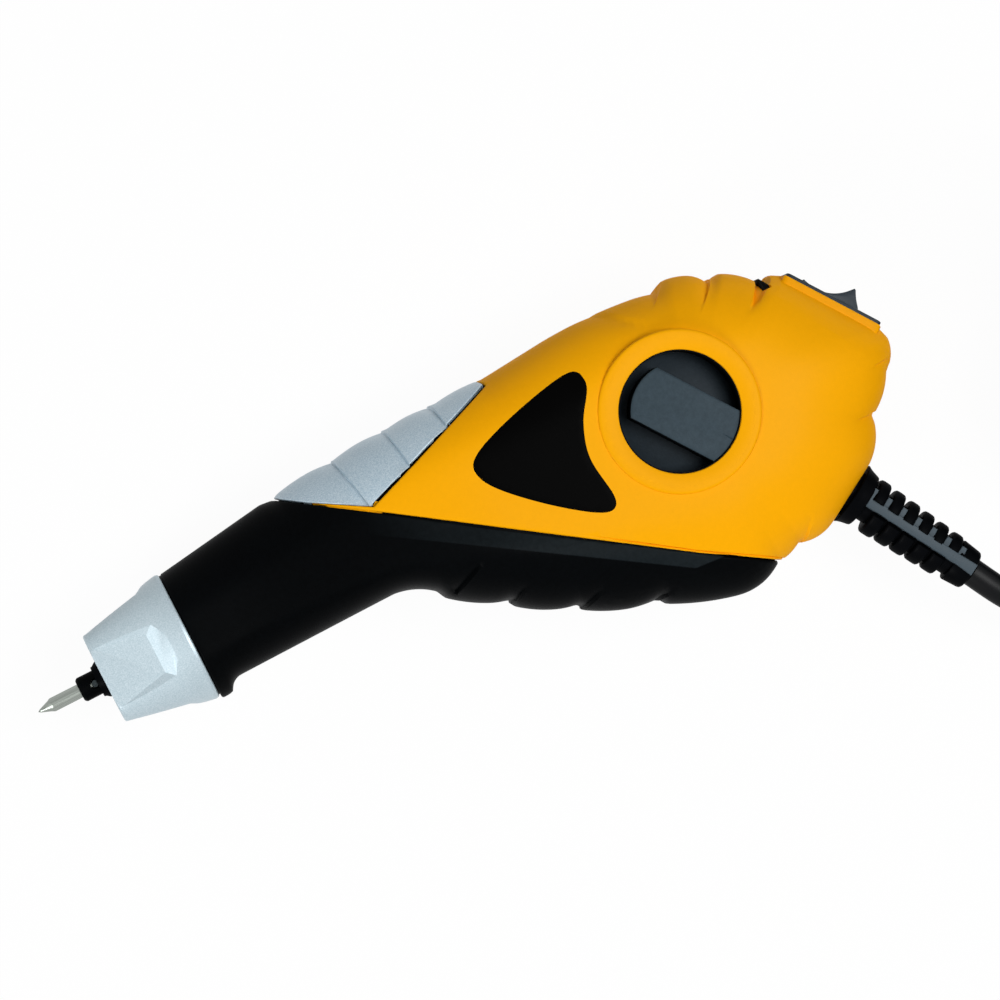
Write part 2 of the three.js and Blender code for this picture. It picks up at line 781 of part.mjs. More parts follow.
// A body along X whose section goes from a rounded square to a circle: each station gives its
// place, its half width and the power of its section's curve
function lofted(stations, sides) {
  const vertices = [];
  const faces = [];
  stations.forEach(([x, half, power]) => {
    for (let k = 0; k < sides; k += 1) {
      const angle = (k / sides) * 2 * Math.PI;
      const reach = (value) => half * Math.sign(value) * Math.abs(value) ** (2 / power);
      vertices.push(x, reach(Math.cos(angle)), reach(Math.sin(angle)));
    }
  });
  for (let i = 0; i < stations.length - 1; i += 1) {
    for (let k = 0; k < sides; k += 1) {
      const a = i * sides + k;
      const b = i * sides + ((k + 1) % sides);
      faces.push(a, b, a + sides, b, b + sides, a + sides);
    }
  }
  const last = (stations.length - 1) * sides;
  for (let k = 1; k < sides - 1; k += 1) {
    faces.push(0, k + 1, k, last, last + k, last + k + 1);
  }
  const geometry = new THREE.BufferGeometry();
  geometry.setAttribute('position', new THREE.Float32BufferAttribute(vertices, 3));
  geometry.setIndex(faces);
  return toSolid(geometry);
}

function addNose(pen) {
  const capRear = shellStart - gap;
  const neckBack = capRear - neckLength - gap;
  const bootHole = bootRadius + gap;
  const inside = turned([
    [capFront - gap, 0], [capRear + gap, 0], [capRear + gap, neckRadius + gap],
    [neckBack, neckRadius + gap], [neckBack, capBore], [capFront + capFaceThickness, capBore],
    [capFront + capFaceThickness, bootHole], [capFront - gap, bootHole], [capFront - gap, 0],
  ], 24);
  const stations = [[capFront, capFrontRadius - capFrontEdge, capFrontPower]];
  const bend = Math.round((capBend - capFrontEdge) / capRingStep);
  for (let i = 0; i <= bend; i += 1) {
    stations.push([
      THREE.MathUtils.lerp(capFront + capFrontEdge, capFront + capBend, i / bend),
      THREE.MathUtils.lerp(capFrontRadius, capBendRadius, i / bend),
      THREE.MathUtils.lerp(capFrontPower, capBendPower, i / bend),
    ]);
  }
  stations.push([capRear - capRearEdge, capRearRadius, 2], [capRear, capRearRadius - capRearEdge / 2, 2]);
  let body = lofted(stations, 32).subtract(toSolid(inside));
  for (let i = 0; i < pocketCount; i += 1) {
    body = body.subtract(pocketCutter((i * 2 * Math.PI) / pocketCount));
  }
  add(pen, 'nose_cap', body, silverPaint);

  const bootBack = capFront + capFaceThickness;
  const bootBore = spindleRadius + gap;
  const collarBack = bootBack + bootCollar;
  const collarEdge = capBore - bootCollar;
  add(pen, 'nose_boot', turned([
    [capFront - bootReach, bootLipRadius - bootEdge], [capFront - bootReach, bootBore],
    [collarBack, bootBore], [collarBack, collarEdge], [bootBack + gap, collarEdge],
    [bootBack + gap, bootRadius], [capFront - bootEdge, bootRadius],
    [capFront - bootReach / 2, bootLipRadius], [capFront - bootReach, bootLipRadius - bootEdge],
  ], 24), blackRubber);

  const bushFront = collarBack + gap;
  add(pen, 'front_bush', ring(bushFront, bushFront + bushLength, spindleRadius + gap, bushRadius), bronze);
}

// Moving spindle

function addSpindle(pen) {
  const needle = new THREE.CylinderGeometry(needleRadius, needleRadius, needleLength - needlePoint, 16);
  needle.rotateZ(-Math.PI / 2).translate((needleLength + needlePoint) / 2, 0, 0);
  const [facetAlong, facetOut] = needleFacetShares;
  const point = turned([
    [needlePoint, 0], [needlePoint, needleRadius],
    [needlePoint * facetAlong, needleRadius * facetOut], [0, 0],
  ], 16);
  const flats = [0, 1, 2].map((i) => toSolid(box(
    [-gap, holderFront - gap],
    [needleRadius - needleFlatDepth, overrun],
    [-overrun, overrun],
  ).rotateX(((i + needleTurnShare) * 2 * Math.PI) / 3)));
  const ground = flats.reduce((whole, next) => whole.subtract(next), toSolid(needle).add(toSolid(point)));
  add(pen, 'carbide_needle', ground, steel);

  const bore = needleRadius + gap;
  const holderBack = holderFront + holderLength;
  const holder = toSolid(turned([
    [holderFront, bore], [holderBack, bore], [holderBack, holderRadius],
    [holderFront + holderEdge, holderRadius], [holderFront, holderRadius - holderEdge], [holderFront, bore],
  ], 24)).subtract(toSolid(post(setScrewPlace, 0, setScrewRadius + gap, 0, overrun, 12)));
  add(pen, 'needle_holder', holder, blackPlastic);
  const screwTop = holderRadius - setScrewInset;
  add(pen, 'needle_set_screw', post(setScrewPlace, 0, setScrewRadius, bore, screwTop, 12), steel);

  const start = holderBack + gap;
  const needleHole = needleLength + gap;
  add(pen, 'spindle', turned([
    [start, bore], [needleHole, bore], [needleHole, 0], [spindleEnd, 0], [spindleEnd, spindleRadius],
    [start, spindleRadius], [start, bore],
  ], 24), steel);
  const collarBack = springStart - springWire - springEndGap;
  const collar = ring(collarBack - collarLength, collarBack, spindleRadius + gap, collarRadius, 24);
  add(pen, 'spring_collar', collar, steel);
  const armatureBack = armatureFront + armatureThickness;
  const plate = toSolid(box(
    [armatureFront, armatureBack],
    [-armatureHeight / 2, armatureHeight / 2],
    [-armatureWidth / 2, armatureWidth / 2],
  )).subtract(toSolid(rod(armatureFront - gap, spindleEnd + gap, spindleRadius + gap)));
  add(pen, 'armature', plate, steel);
}

function addGuideAndSpring(pen) {
  const guideBack = guidePlace + guideLength;
  const bore = spindleRadius + gap;
  add(pen, 'rear_guide', turned([
    [guideFront, bore], [guideFront, guideFlangeRadius], [guidePlace, guideFlangeRadius],
    [guidePlace, guideRadius], [guideBack, guideRadius], [guideBack, bore], [guideFront, bore],
  ], 28), bronze);
  const springLength = guideFront - springEndGap - springWire - springStart;
  const points = [];
  const steps = 8 * springTurns;
  for (let i = 0; i <= steps; i += 1) {
    const angle = (i / steps) * springTurns * 2 * Math.PI;
    const along = springStart + (i / steps) * springLength;
    points.push(new THREE.Vector3(along, springRadius * Math.cos(angle), springRadius * Math.sin(angle)));
  }
  add(pen, 'return_spring', tube(points, springWire, 5), steel);
}

// A round tube along points: one ring of sides at each, closed by a fan at both ends
function tube(points, radius, sides) {
  const vertices = [];
  const faces = [];
  const normal = new THREE.Vector3();
  points.forEach((point, i) => {
    const before = points[Math.max(0, i - 1)];
    const after = points[Math.min(points.length - 1, i + 1)];
    const along = after.clone().sub(before).normalize();
    if (i === 0) {
      normal.set(0, 0, 1);
      if (Math.abs(along.z) > 0.9) {
        normal.set(1, 0, 0);
      }
    }
    normal.addScaledVector(along, -normal.dot(along)).normalize();
    const across = along.clone().cross(normal);
    for (let k = 0; k < sides; k += 1) {
      const angle = ((k + 0.5) / sides) * 2 * Math.PI;
      const corner = point.clone();
      corner.addScaledVector(normal, radius * Math.cos(angle));
      corner.addScaledVector(across, radius * Math.sin(angle));
      vertices.push(corner.x, corner.y, corner.z);
    }
  });
  for (let i = 0; i < points.length - 1; i += 1) {
    for (let k = 0; k < sides; k += 1) {
      const a = i * sides + k;
      const b = i * sides + ((k + 1) % sides);
      faces.push(a, b, b + sides, a, b + sides, a + sides);
    }
  }
  const last = (points.length - 1) * sides;
  for (let k = 1; k < sides - 1; k += 1) {
    faces.push(0, k + 1, k, last, last + k, last + k + 1);
  }
  const geometry = new THREE.BufferGeometry();
  geometry.setAttribute('position', new THREE.Float32BufferAttribute(vertices, 3));
  geometry.setIndex(faces);
  geometry.computeVertexNormals();
  return geometry;
}

// Electromagnet

function addMagnet(pen) {
  const half = coreHeight / 2;
  const windowBack = coreBack - coreLeg;
  const stack = [
    [coreFront, -half], [coreBack, -half], [coreBack, half], [coreFront, half], [coreFront, half - coreLeg],
    [windowBack, half - coreLeg], [windowBack, coreCentreLeg / 2], [coreFront, coreCentreLeg / 2],
    [coreFront, -coreCentreLeg / 2], [windowBack, -coreCentreLeg / 2], [windowBack, coreLeg - half],
    [coreFront, coreLeg - half],
  ];
  add(pen, 'stator_core', prism(stack, -coreWidth / 2, coreWidth / 2), steel);

  const holeY = coreCentreLeg / 2 + gap;
  const holeZ = coreWidth / 2 + gap;
  const bobbinFront = coreFront;
  const through = [bobbinFront - gap, bobbinBack + gap];
  const hole = toSolid(box(through, [-holeY, holeY], [-holeZ, holeZ]));
  const tubeY = holeY + bobbinWall;
  const tubeZ = holeZ + bobbinWall;
  const tubeBody = toSolid(box([bobbinFront, bobbinBack], [-tubeY, tubeY], [-tubeZ, tubeZ]));
  const flangeY = [-bobbinHalfHeight, bobbinHalfHeight];
  const flangeZ = [-bobbinHalfWidth, bobbinHalfWidth];
  const frontFlange = toSolid(box([bobbinFront, bobbinFront + bobbinFlange], flangeY, flangeZ));
  const backFlange = toSolid(box([bobbinBack - bobbinFlange, bobbinBack], flangeY, flangeZ));
  const bobbin = tubeBody.add(frontFlange).add(backFlange).subtract(hole);
  add(pen, 'coil_bobbin', bobbin, whitePlastic);

  const coilX = [bobbinFront + bobbinFlange + gap, bobbinBack - bobbinFlange - gap];
  const outY = bobbinHalfHeight - windingInset;
  const outZ = bobbinHalfWidth - windingInset;
  const turns = toSolid(box(coilX, [-outY, outY], [-outZ, outZ]))
    .subtract(toSolid(box(through, [-tubeY - gap, tubeY + gap], [-tubeZ - gap, tubeZ + gap])));
  add(pen, 'coil_winding', turns, copper);
}

// Depth dial

function addDial(pen) {
  const dial = placedGroup(dialPlace, 0);
  pen.add(dial);
  const radius = dialOpening - dialClearance;
  const discBottom = dialFloor - dialDisc;
  const flange = toSolid(post(0, 0, dialFlangeRadius, discBottom, discBottom + dialFlangeThickness, 40));
  const disc = toSolid(post(0, 0, radius, discBottom, dialFloor, 40));
  const barTop = dialFloor + dialBarRise;
  const barHalf = dialBarWidth / 2;
  const bar = toSolid(post(0, 0, radius, discBottom, barTop, 40))
    .intersect(toSolid(box([-dialBarBack, dialOpening], [-barHalf, barHalf], [0, overrun])));
  const notch = toSolid(post(radius, 0, dialNotch, barTop - dialNotch, overrun, 12));
  const stem = toSolid(post(0, 0, dialStemRadius, dialStemBottom, dialFloor - dialDisc / 2, 24));
  const bore = toSolid(post(0, 0, dialPostRadius + gap, 0, dialPostTop + gap, 20));
  const body = flange.add(disc).add(bar).add(stem).subtract(notch).subtract(bore);
  const dialMesh = add(dial, 'depth_dial', body, greyPlastic);
  dialMesh.rotation.z = switchTurn;

  // Edge of the cam: the radius grows evenly with the angle, so the stop moves evenly
  const outline = [];
  const steps = 36;
  const rise = camRise / dialSwing;
  for (let i = 0; i <= steps; i += 1) {
    const angle = (2 * i / steps - 1) * Math.PI;
    const edge = camRadius + rise * angle;
    outline.push([-edge * Math.cos(angle), -edge * Math.sin(angle)]);
  }
  const camTop = discBottom - gap;
  const cam = toSolid(prism(outline, camTop - camThickness, camTop))
    .subtract(toSolid(post(0, 0, dialStemRadius + gap, 0, overrun, 24)));
  add(dial, 'stroke_cam', cam, whitePlastic);
}

function addStop(pen) {
  const y = [sliderPlace - sliderWidth / 2, sliderPlace + sliderWidth / 2];
  const bar = toSolid(box([sliderStart, sliderEnd], y, [sliderUnderside, sliderTop]));
  const footBottom = spindleRadius + sliderFootLift;
  const foot = toSolid(box([sliderStart, sliderStart + sliderFoot], y, [footBottom, sliderTop]));
  const nose = toSolid(box(
    [sliderEnd - sliderWidth, sliderEnd],
    [dialPlace.y - sliderWidth / 2, y[1]],
    [sliderUnderside, sliderTop],
  ));
  add(pen, 'stroke_stop', bar.add(foot).add(nose), steel);
}

// Rocker switch

function addSwitch(pen) {
  const unit = placedGroup(switchPlace, switchTurn);
  pen.add(unit);
  const plateBottom = bezelProud - bezelThickness;
  const plate = toSolid(box(
    [-bezelLength / 2, bezelLength / 2],
    [plateBottom, bezelProud],
    [-bezelWidth / 2, bezelWidth / 2],
  ));
  const body = toSolid(box(
    [-switchBodyLength / 2, switchBodyLength / 2],
    [gap - switchBodyDepth, bezelProud / 2],
    [-switchBodyWidth / 2, switchBodyWidth / 2],
  ));
  const well = toSolid(box(
    [-rockerRadius - gap, rockerRadius + gap],
    [-rockerRadius * rockerWellShare, overrun],
    [-rockerWidth / 2 - gap, rockerWidth / 2 + gap],
  ));
  add(unit, 'switch_frame', plate.add(body).subtract(well), blackPlastic);

  const rocker = new THREE.Group();
  rocker.position.y = -rockerPivotDepth;
  rocker.rotation.z = rockerTilt;
  unit.add(rocker);
  const profile = [];
  const steps = 5;
  for (let i = 0; i <= steps; i += 1) {
    const angle = THREE.MathUtils.lerp(rockerSkirt, rockerFlank, i / steps);
    profile.push([rockerRadius * Math.cos(angle), rockerRadius * Math.sin(angle)]);
  }
  for (let i = 0; i < steps; i += 1) {
    const share = 1 - i / steps;
    profile.push([rockerTipReach * share, rockerDip + (rockerTipRise - rockerDip) * share * share]);
  }
  const mirrored = profile.map(([x, y]) => [-x, y]).reverse();
  const outline = [...profile, [0, rockerDip], ...mirrored];
  add(rocker, 'switch_rocker', prism(outline, -rockerWidth / 2, rockerWidth / 2), blackPlastic);

  [-1, 1].forEach((side, i) => {
    const x = (side * switchBodyLength) / 4;
    add(unit, `switch_terminal_${i + 1}`, box(
      [x - terminalThickness / 2, x + terminalThickness / 2],
      [-switchBodyDepth - terminalLength, -switchBodyDepth],
      [-terminalWidth / 2, terminalWidth / 2],
    ), bronze);
  });
}

// Strain relief: a sleeve with half rings that step from side to side along a flat spine
function addRelief(pen) {
  const unit = placedGroup(rootPlace, rootTurn);
  pen.add(unit);
  const bore = leadRadius + gap;
  const flangeStart = -wall - 2 * gap - reliefFlangeThickness;
  const seat = gap;
  const rootEnd = seat + reliefRootLength;
  const tipStart = reliefLength - reliefTipLength;
  const sleeve = toSolid(turned([
    [flangeStart, bore], [flangeStart, reliefFlangeRadius],
    [flangeStart + reliefFlangeThickness, reliefFlangeRadius],
    [flangeStart + reliefFlangeThickness, reliefNeckRadius], [seat, reliefNeckRadius],
    [seat, reliefRootRadius],
    [rootEnd, reliefRootRadius - reliefRootDraft], [rootEnd, reliefCoreRadius], [tipStart, reliefCoreRadius],
    [tipStart, reliefTipRadius + reliefDraft], [reliefLength - reliefEdge, reliefTipRadius],
    [reliefLength, reliefTipRadius - reliefEdge], [reliefLength, bore], [flangeStart, bore],
  ], 16));
  const pitch = (tipStart - rootEnd) / reliefRibs;
  let body = sleeve;
  for (let i = 0; i < 2 * reliefRibs - 1; i += 1) {
    const start = rootEnd + (i / 2 + 0.5) * pitch - reliefRibThickness / 2;
    const share = i / (2 * reliefRibs - 1);
    const radius = THREE.MathUtils.lerp(reliefRibRadius, reliefRibTipRadius, share);
    const side = i % 2 === 0 ? 1 : -1;
    const rib = ring(start, start + reliefRibThickness, bore + gap, radius, 16);
    const reach = side > 0 ? [-gap, overrun] : [-overrun, gap];
    const half = box([start - gap, start + reliefRibThickness + gap], reach, [-overrun, overrun]);
    body = body.add(toSolid(rib).intersect(toSolid(half)));
  }
  const spineHalf = reliefSpineWidth / 2;
  const spineTop = reliefRibTipRadius - gap;
  const spine = toSolid(box([rootEnd - gap, tipStart + gap], [-spineHalf, spineHalf], [-spineTop, spineTop]))
    .subtract(toSolid(rod(0, reliefLength, bore + gap)));
  add(unit, 'strain_relief', body.add(spine), blackRubber);

  add(unit, 'inner_lead', rod(-innerLeadLength, reliefLength, leadRadius, 12), blackRubber);

  const clampBottom = leadRadius + gap;
  const plateZ = [clampBottom, clampBottom + clampThickness];
  let plate = toSolid(box(
    [clampPlace - clampDepth / 2, clampPlace + clampDepth / 2],
    [-clampWidth / 2, clampWidth / 2],
    plateZ,
  ));
  [-1, 1].forEach((side, i) => {
    const y = side * clampPostSpacing;
    plate = plate.add(toSolid(post(clampPlace, y, clampPostRadius, gap / 2, plateZ[1] - gap, 16)));
    plate = plate.subtract(toSolid(post(clampPlace, y, clampScrewRadius + gap, 0, overrun, 12)));
    const head = plateZ[1] + gap;
    const headTop = head + clampHeadHeight;
    const shaftEnd = leadRadius - clampScrewReach + gap;
    const shaft = toSolid(post(clampPlace, y, clampScrewRadius, shaftEnd, head + clampSlotDepth, 12));
    const cap = toSolid(post(clampPlace, y, clampScrewHead, head, headTop, 16));
    const slot = toSolid(box(
      [clampPlace - overrun, clampPlace + overrun],
      [y - gap, y + gap],
      [headTop - clampSlotDepth, overrun],
    ));
    add(unit, `clamp_screw_${i + 1}`, shaft.add(cap).subtract(slot), steel);
  });
  add(unit, 'cord_clamp', plate, whitePlastic);
}

// Lead

function leadLength(points) {
  let total = 0;
  for (let i = 1; i < points.length; i += 1) {
    total += points[i].distanceTo(points[i - 1]);
  }
  return total;
}

// Least space between two stretches of one tube that are not neighbours along it
function leastGap(points, diameter) {
  let least = Infinity;
  const lengths = [0];
  for (let i = 1; i < points.length; i += 1) {
    lengths.push(lengths[i - 1] + points[i].distanceTo(points[i - 1]));
  }
  for (let i = 0; i < points.length; i += 1) {
    for (let k = i + 1; k < points.length; k += 1) {
      if (lengths[k] - lengths[i] > 4 * diameter) {
        least = Math.min(least, points[i].distanceTo(points[k]) - diameter);
      }
    }
  }
  return least;
}

// Centre line of the coil: it winds in, climbs a layer where it turns back, winds out, climbs
// again and runs over the top in a half turn to the plug
function coilLine() {
  const pitch = cordDiameter + coilGap;
  const layer = cordDiameter + coilGap;
  const base = floorLevel + leadRadius + coilLift;
  const first = -Math.PI / 2;
  const points = [];
  points.push(new THREE.Vector3(coilCentre[0] - cordDiameter, coilCentre[1] - coilOuterRadius, base));
  const turns = coilLayers * coilLayerTurns + coilLastTurnShare;
  const steps = Math.round(turns * coilLoopSteps);
  const climb = (turn, middle) => THREE.MathUtils.clamp(2 * (turn - middle) + 1 / 2, 0, 1);
  for (let i = 0; i <= steps; i += 1) {
    const turn = i / coilLoopSteps;
    const inward = Math.abs(coilLayerTurns - Math.abs((turn % (2 * coilLayerTurns)) - coilLayerTurns));
    const radius = coilOuterRadius - pitch * inward;
    const angle = first + turn * 2 * Math.PI;
    let climbed = 0;
    for (let k = 1; k <= coilLayers; k += 1) {
      climbed += climb(turn, k * coilLayerTurns);
    }
    const height = base + layer * climbed;
    points.push(new THREE.Vector3(
      coilCentre[0] + radius * Math.cos(angle),
      coilCentre[1] + radius * Math.sin(angle),
      height,
    ));
  }
  const end = first + turns * 2 * Math.PI;
  const endRadius = coilOuterRadius - pitch * coilLastTurnShare;
  const middle = new THREE.Vector2(
    coilCentre[0] + (endRadius - tailRadius) * Math.cos(end),
    coilCentre[1] + (endRadius - tailRadius) * Math.sin(end),
  );
  const plugAxis = base - leadRadius + coilLayers * layer + plugThickness / 2;
  const tailSteps = Math.round((coilLoopSteps * tailTurn) / (2 * Math.PI));
  for (let i = 1; i <= tailSteps; i += 1) {
    const share = i / tailSteps;
    const angle = end + share * tailTurn;
    points.push(new THREE.Vector3(
      middle.x + tailRadius * Math.cos(angle),
      middle.y + tailRadius * Math.sin(angle),
      THREE.MathUtils.lerp(base + coilLayers * layer, plugAxis, THREE.MathUtils.smoothstep(share, 0, 1)),
    ));
  }
  const heading = end + tailTurn + Math.PI / 2;
  const last = points[points.length - 1];
  const straight = new THREE.Vector3(Math.cos(heading), Math.sin(heading), 0);
  points.push(last.clone().addScaledVector(straight, cordDiameter));
  return { points, heading };
}

function addLead(pen) {
  const route = new THREE.CatmullRomCurve3(leadRoute.map((point) => new THREE.Vector3(...point)));
  const freeLine = route.getSpacedPoints(30);
  add(pen, 'power_cord', tube(freeLine, leadRadius, 8), blackRubber);
  const { points, heading } = coilLine();
  add(pen, 'power_cord_coil', tube(points, leadRadius, 6), blackRubber);
  const total = leadLength(freeLine) + leadLength(points);
  console.log(`lead from the strain relief to the plug ${total.toFixed(0)} of ${cordLength}`);
  console.log(`least gap between turns ${leastGap(points, cordDiameter).toFixed(2)}`);
  addPlug(pen, points[points.length - 1], heading);
}

function addPlug(pen, end, heading) {
  const unit = new THREE.Group();
  unit.position.copy(end);
  unit.rotation.z = heading;
  pen.add(unit);
  const section = (x, width, height) => [-1, 1].flatMap((side) => [-1, 1].flatMap((up) => [
    new THREE.Vector3(x, (side * width) / 2, up * (height / 2 - plugEdge)),
    new THREE.Vector3(x, side * (width / 2 - plugEdge), (up * height) / 2),
  ]));
  const body = new ConvexGeometry(plugShares.flatMap(([along, width, height]) => (
    section(gap + along * plugLength, width * plugWidth, height * plugThickness)
  )));
  add(unit, 'plug_body', body, blackRubber);
  [-1, 1].forEach((side, i) => {
    const start = plugLength + 2 * gap;
    const pin = rod(start, start + plugPinLength, plugPinRadius, 12);
    add(unit, `plug_pin_${i + 1}`, pin.translate(0, (side * plugPinSpacing) / 2, 0), bronze);
  });
}

// The whole pen, set with its rest face on the ground and centred without its lead

const pen = new THREE.Group();
addHousing(pen);
addScrews(pen);
addNose(pen);
addSpindle(pen);
addGuideAndSpring(pen);
addMagnet(pen);
addDial(pen);
addStop(pen);
addSwitch(pen);
addRelief(pen);
pen.updateMatrixWorld(true);
const outline = new THREE.Box3().setFromObject(pen, true);
addLead(pen);
const centre = outline.getCenter(new THREE.Vector3());
pen.position.set(-centre.x, -centre.y, -outline.min.z);

const scene = new THREE.Group();
scene.add(pen);
scene.updateMatrixWorld(true);

export default scene;
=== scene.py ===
"""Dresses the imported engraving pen: moulded shells, inlays, dial, switch, ribbed sleeve, lead and studio."""
import json
import math

import bmesh
import bpy
import numpy as np
from mathutils import Matrix, Vector
from mathutils.bvhtree import BVHTree
from mathutils.geometry import delaunay_2d_cdt


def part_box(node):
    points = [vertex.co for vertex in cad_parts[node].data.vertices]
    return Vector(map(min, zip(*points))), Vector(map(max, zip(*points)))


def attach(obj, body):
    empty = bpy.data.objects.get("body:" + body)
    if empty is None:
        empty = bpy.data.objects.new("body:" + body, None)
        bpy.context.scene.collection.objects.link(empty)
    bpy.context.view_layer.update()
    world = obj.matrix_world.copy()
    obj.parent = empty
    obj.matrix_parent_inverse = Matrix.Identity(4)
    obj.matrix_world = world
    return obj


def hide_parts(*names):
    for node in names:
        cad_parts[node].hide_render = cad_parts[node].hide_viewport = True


bl_info = {
    "name": "Engraving Pen",
    "version": (1, 0, 0),
    "blender": (4, 5, 0),
    "location": "View3D > Sidebar > Engraving Pen",
    "description": "Moulded shells, fittings, lead and studio for an electric engraving pen",
    "category": "Object",
}

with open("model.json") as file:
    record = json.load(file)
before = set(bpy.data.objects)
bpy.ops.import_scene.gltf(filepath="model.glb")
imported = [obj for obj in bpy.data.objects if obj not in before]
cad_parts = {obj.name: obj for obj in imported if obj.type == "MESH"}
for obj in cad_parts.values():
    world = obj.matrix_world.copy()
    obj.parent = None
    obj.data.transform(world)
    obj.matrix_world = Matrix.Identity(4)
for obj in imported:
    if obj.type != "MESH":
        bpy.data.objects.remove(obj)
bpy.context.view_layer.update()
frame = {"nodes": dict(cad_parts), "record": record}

# The working frame: millimetres from the needle's point, X along its axis, Z out of the dial's side
SPINDLE_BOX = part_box("spindle")
NEEDLE_POINT = Vector((
    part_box("carbide_needle")[0].x,
    (SPINDLE_BOX[0].y + SPINDLE_BOX[1].y) / 2,
    (SPINDLE_BOX[0].z + SPINDLE_BOX[1].z) / 2,
))
MM = 0.001

# Housing, in the same named sizes and shares as the part's source
SHELL_START = 35.8
SHELL_LENGTH = 162.6
SHELL_HEIGHT = 68.7
HALF_THICKNESS = (14.2, 21.0)
SQUARENESS = (2.0, 2.6)
GROWTH = (0.06, 0.43)
FACE_ANGLE = math.radians(69)
SHOULDER_REACH = 7.2
SPINE_START = (SHELL_START - 0.036 * SHELL_LENGTH, 0.0)
OUTLINE = (
    (-0.073, 0.208, 0), (0, 0.208, 0), (0.157, 0.261, 0), (0.176, 0.256, 0), (0.183, 0.266, 0.04),
    (0.269, 0.281, 0.04), (0.352, 0.293, 0.04), (0.423, 0.295, 0.04), (0.491, 0.297, 0),
    (0.586, 0.317, 0.03), (0.747, 0.298, 0), (0.765, 0.317, 0.1), (0.82, 0.252, 0),
    (0.834, 0.258, 0.08), (0.88, 0.16, 0), (0.893, 0.183, 0), (0.909, 0.162, 0), (0.992, -0.111, 0),
    (0.999, -0.163, 0.12), (0.976, -0.256, 0.08), (0.933, -0.36, 0.1), (0.901, -0.49, 0),
    (0.825, -0.595, 0.12), (0.769, -0.61, 0.06), (0.732, -0.633, 0.12), (0.662, -0.667, 0.03),
    (0.577, -0.592, 0), (0.572, -0.571, 0.06), (0.474, -0.489, 0), (0.469, -0.467, 0.06),
    (0.397, -0.384, 0), (0.391, -0.358, 0.05), (0.32, -0.261, 0), (0.315, -0.233, -0.08),
    (0.261, -0.175, 0), (0.033, -0.182, -0.15), (0.017, -0.217, 0.05), (0.001, -0.22, 0),
    (-0.073, -0.22, 0),
)
SEAM = ((0.176, 0.256), (0.2737, 0.093), (0.6316, -0.486), (0.737, -0.639))
TRIM_BACK = (0.491, 0.286)
LABEL = (
    (0.596, 0.19), (0.598, 0.14), (0.572, 0.044), (0.558, -0.061), (0.564, -0.216), (0.558, -0.24),
    (0.542, -0.234), (0.468, -0.104), (0.421, 0.019), (0.417, 0.072), (0.429, 0.1), (0.489, 0.153),
    (0.581, 0.197),
)
SCREWS = ((0.087, 0.154), (0.469, -0.349), (0.598, 0.218), (0.807, 0.16), (0.764, -0.509))
DIAL = (0.689, -0.064)
BEZEL = ((0.909, 0.162), (0.992, -0.111))
ROOT = ((0.901, -0.49), (0.825, -0.595))
GAP = 0.3
SWITCH_OPENING = (11.85, 7.8)
DIAL_OPENING = 13.6
DIAL_RING_TOP = HALF_THICKNESS[1] + 0.36
SCREW_HOLE = 3.05
WELL_RADII = (3.0, 3.9)
WELL_FLOOR = -7.2
WELL_SINK = 0.3

LEAD_ROUTE = (
    (192.11, -64.69, 0), (193.6, -67.4, -0.1), (195.4, -70.5, -0.5), (197.6, -73.7, -1.4),
    (200.3, -76.9, -2.9), (203.5, -79.9, -5.0), (207.4, -82.5, -7.6), (212.0, -84.7, -10.3),
    (217.4, -86.4, -12.8), (223.4, -87.4, -14.9), (229.8, -88.0, -16.4), (236.4, -88.2, -17.3),
    (243.0, -88.2, -17.7), (250.6, -88.2, -17.8), (258.5, -88.2, -17.8),
)
COIL_CENTRE = (265.0, -49.5)
COIL_RADIUS = 38.7
COIL_GAP = 0.7
COIL_LAYERS = 4
COIL_LAYER_TURNS = 1.945
COIL_LAST_TURN = 0.25
TAIL_RADIUS = 27.0
TAIL_TURN = math.radians(126)
PLUG_THICKNESS = 13.7


# Plan helpers

def at(share):
    return np.array((SHELL_START + share[0] * SHELL_LENGTH, share[1] * SHELL_HEIGHT))


def turned_frame(place, angle):
    """The matrix of a piece that lies at a place of the plan, turned about Z."""
    return Matrix.Translation((place[0], place[1], 0)) @ Matrix.Rotation(angle, 4, "Z")


def upright_frame(place):
    """The matrix of a turned piece whose axis stands up out of a place of the plan."""
    return turned_frame(place, 0) @ Matrix.Rotation(-math.pi / 2, 4, "Y")


def edge(first, last):
    """The middle of an edge of the plan and the angle at which it runs."""
    run = at(last) - at(first)
    return (at(first) + at(last)) / 2, math.atan2(run[1], run[0])


DIAL_PLACE = at(DIAL)
SWITCH_PLACE, SWITCH_TURN = edge(*BEZEL)
SWITCH_FRAME = turned_frame(SWITCH_PLACE, SWITCH_TURN)
ROOT_PLACE, ROOT_TURN = edge(*ROOT)
ROOT_FRAME = turned_frame(ROOT_PLACE, ROOT_TURN + math.pi / 2)


def smoothstep(value, low, high):
    share = np.clip((value - low) / (high - low), 0, 1)
    return share * share * (3 - 2 * share)


def run_lengths(points):
    """How far along a line of points each of them lies."""
    return np.concatenate([[0], np.cumsum(np.linalg.norm(np.diff(points, axis=0), axis=1))])


def mean_along(loop, reach, samples):
    """A closed loop with each point averaged over a stretch of the loop on both sides."""
    closed = np.vstack([loop, loop[:1]])
    lengths = run_lengths(closed)
    mean = np.zeros_like(loop)
    for k in range(-samples, samples + 1):
        where = (lengths[:-1] + k / samples * reach) % lengths[-1]
        mean += np.stack([np.interp(where, lengths, closed[:, axis]) for axis in (0, 1)], axis=1)
    return mean / (2 * samples + 1)


def unit(vector):
    return vector / np.linalg.norm(vector)


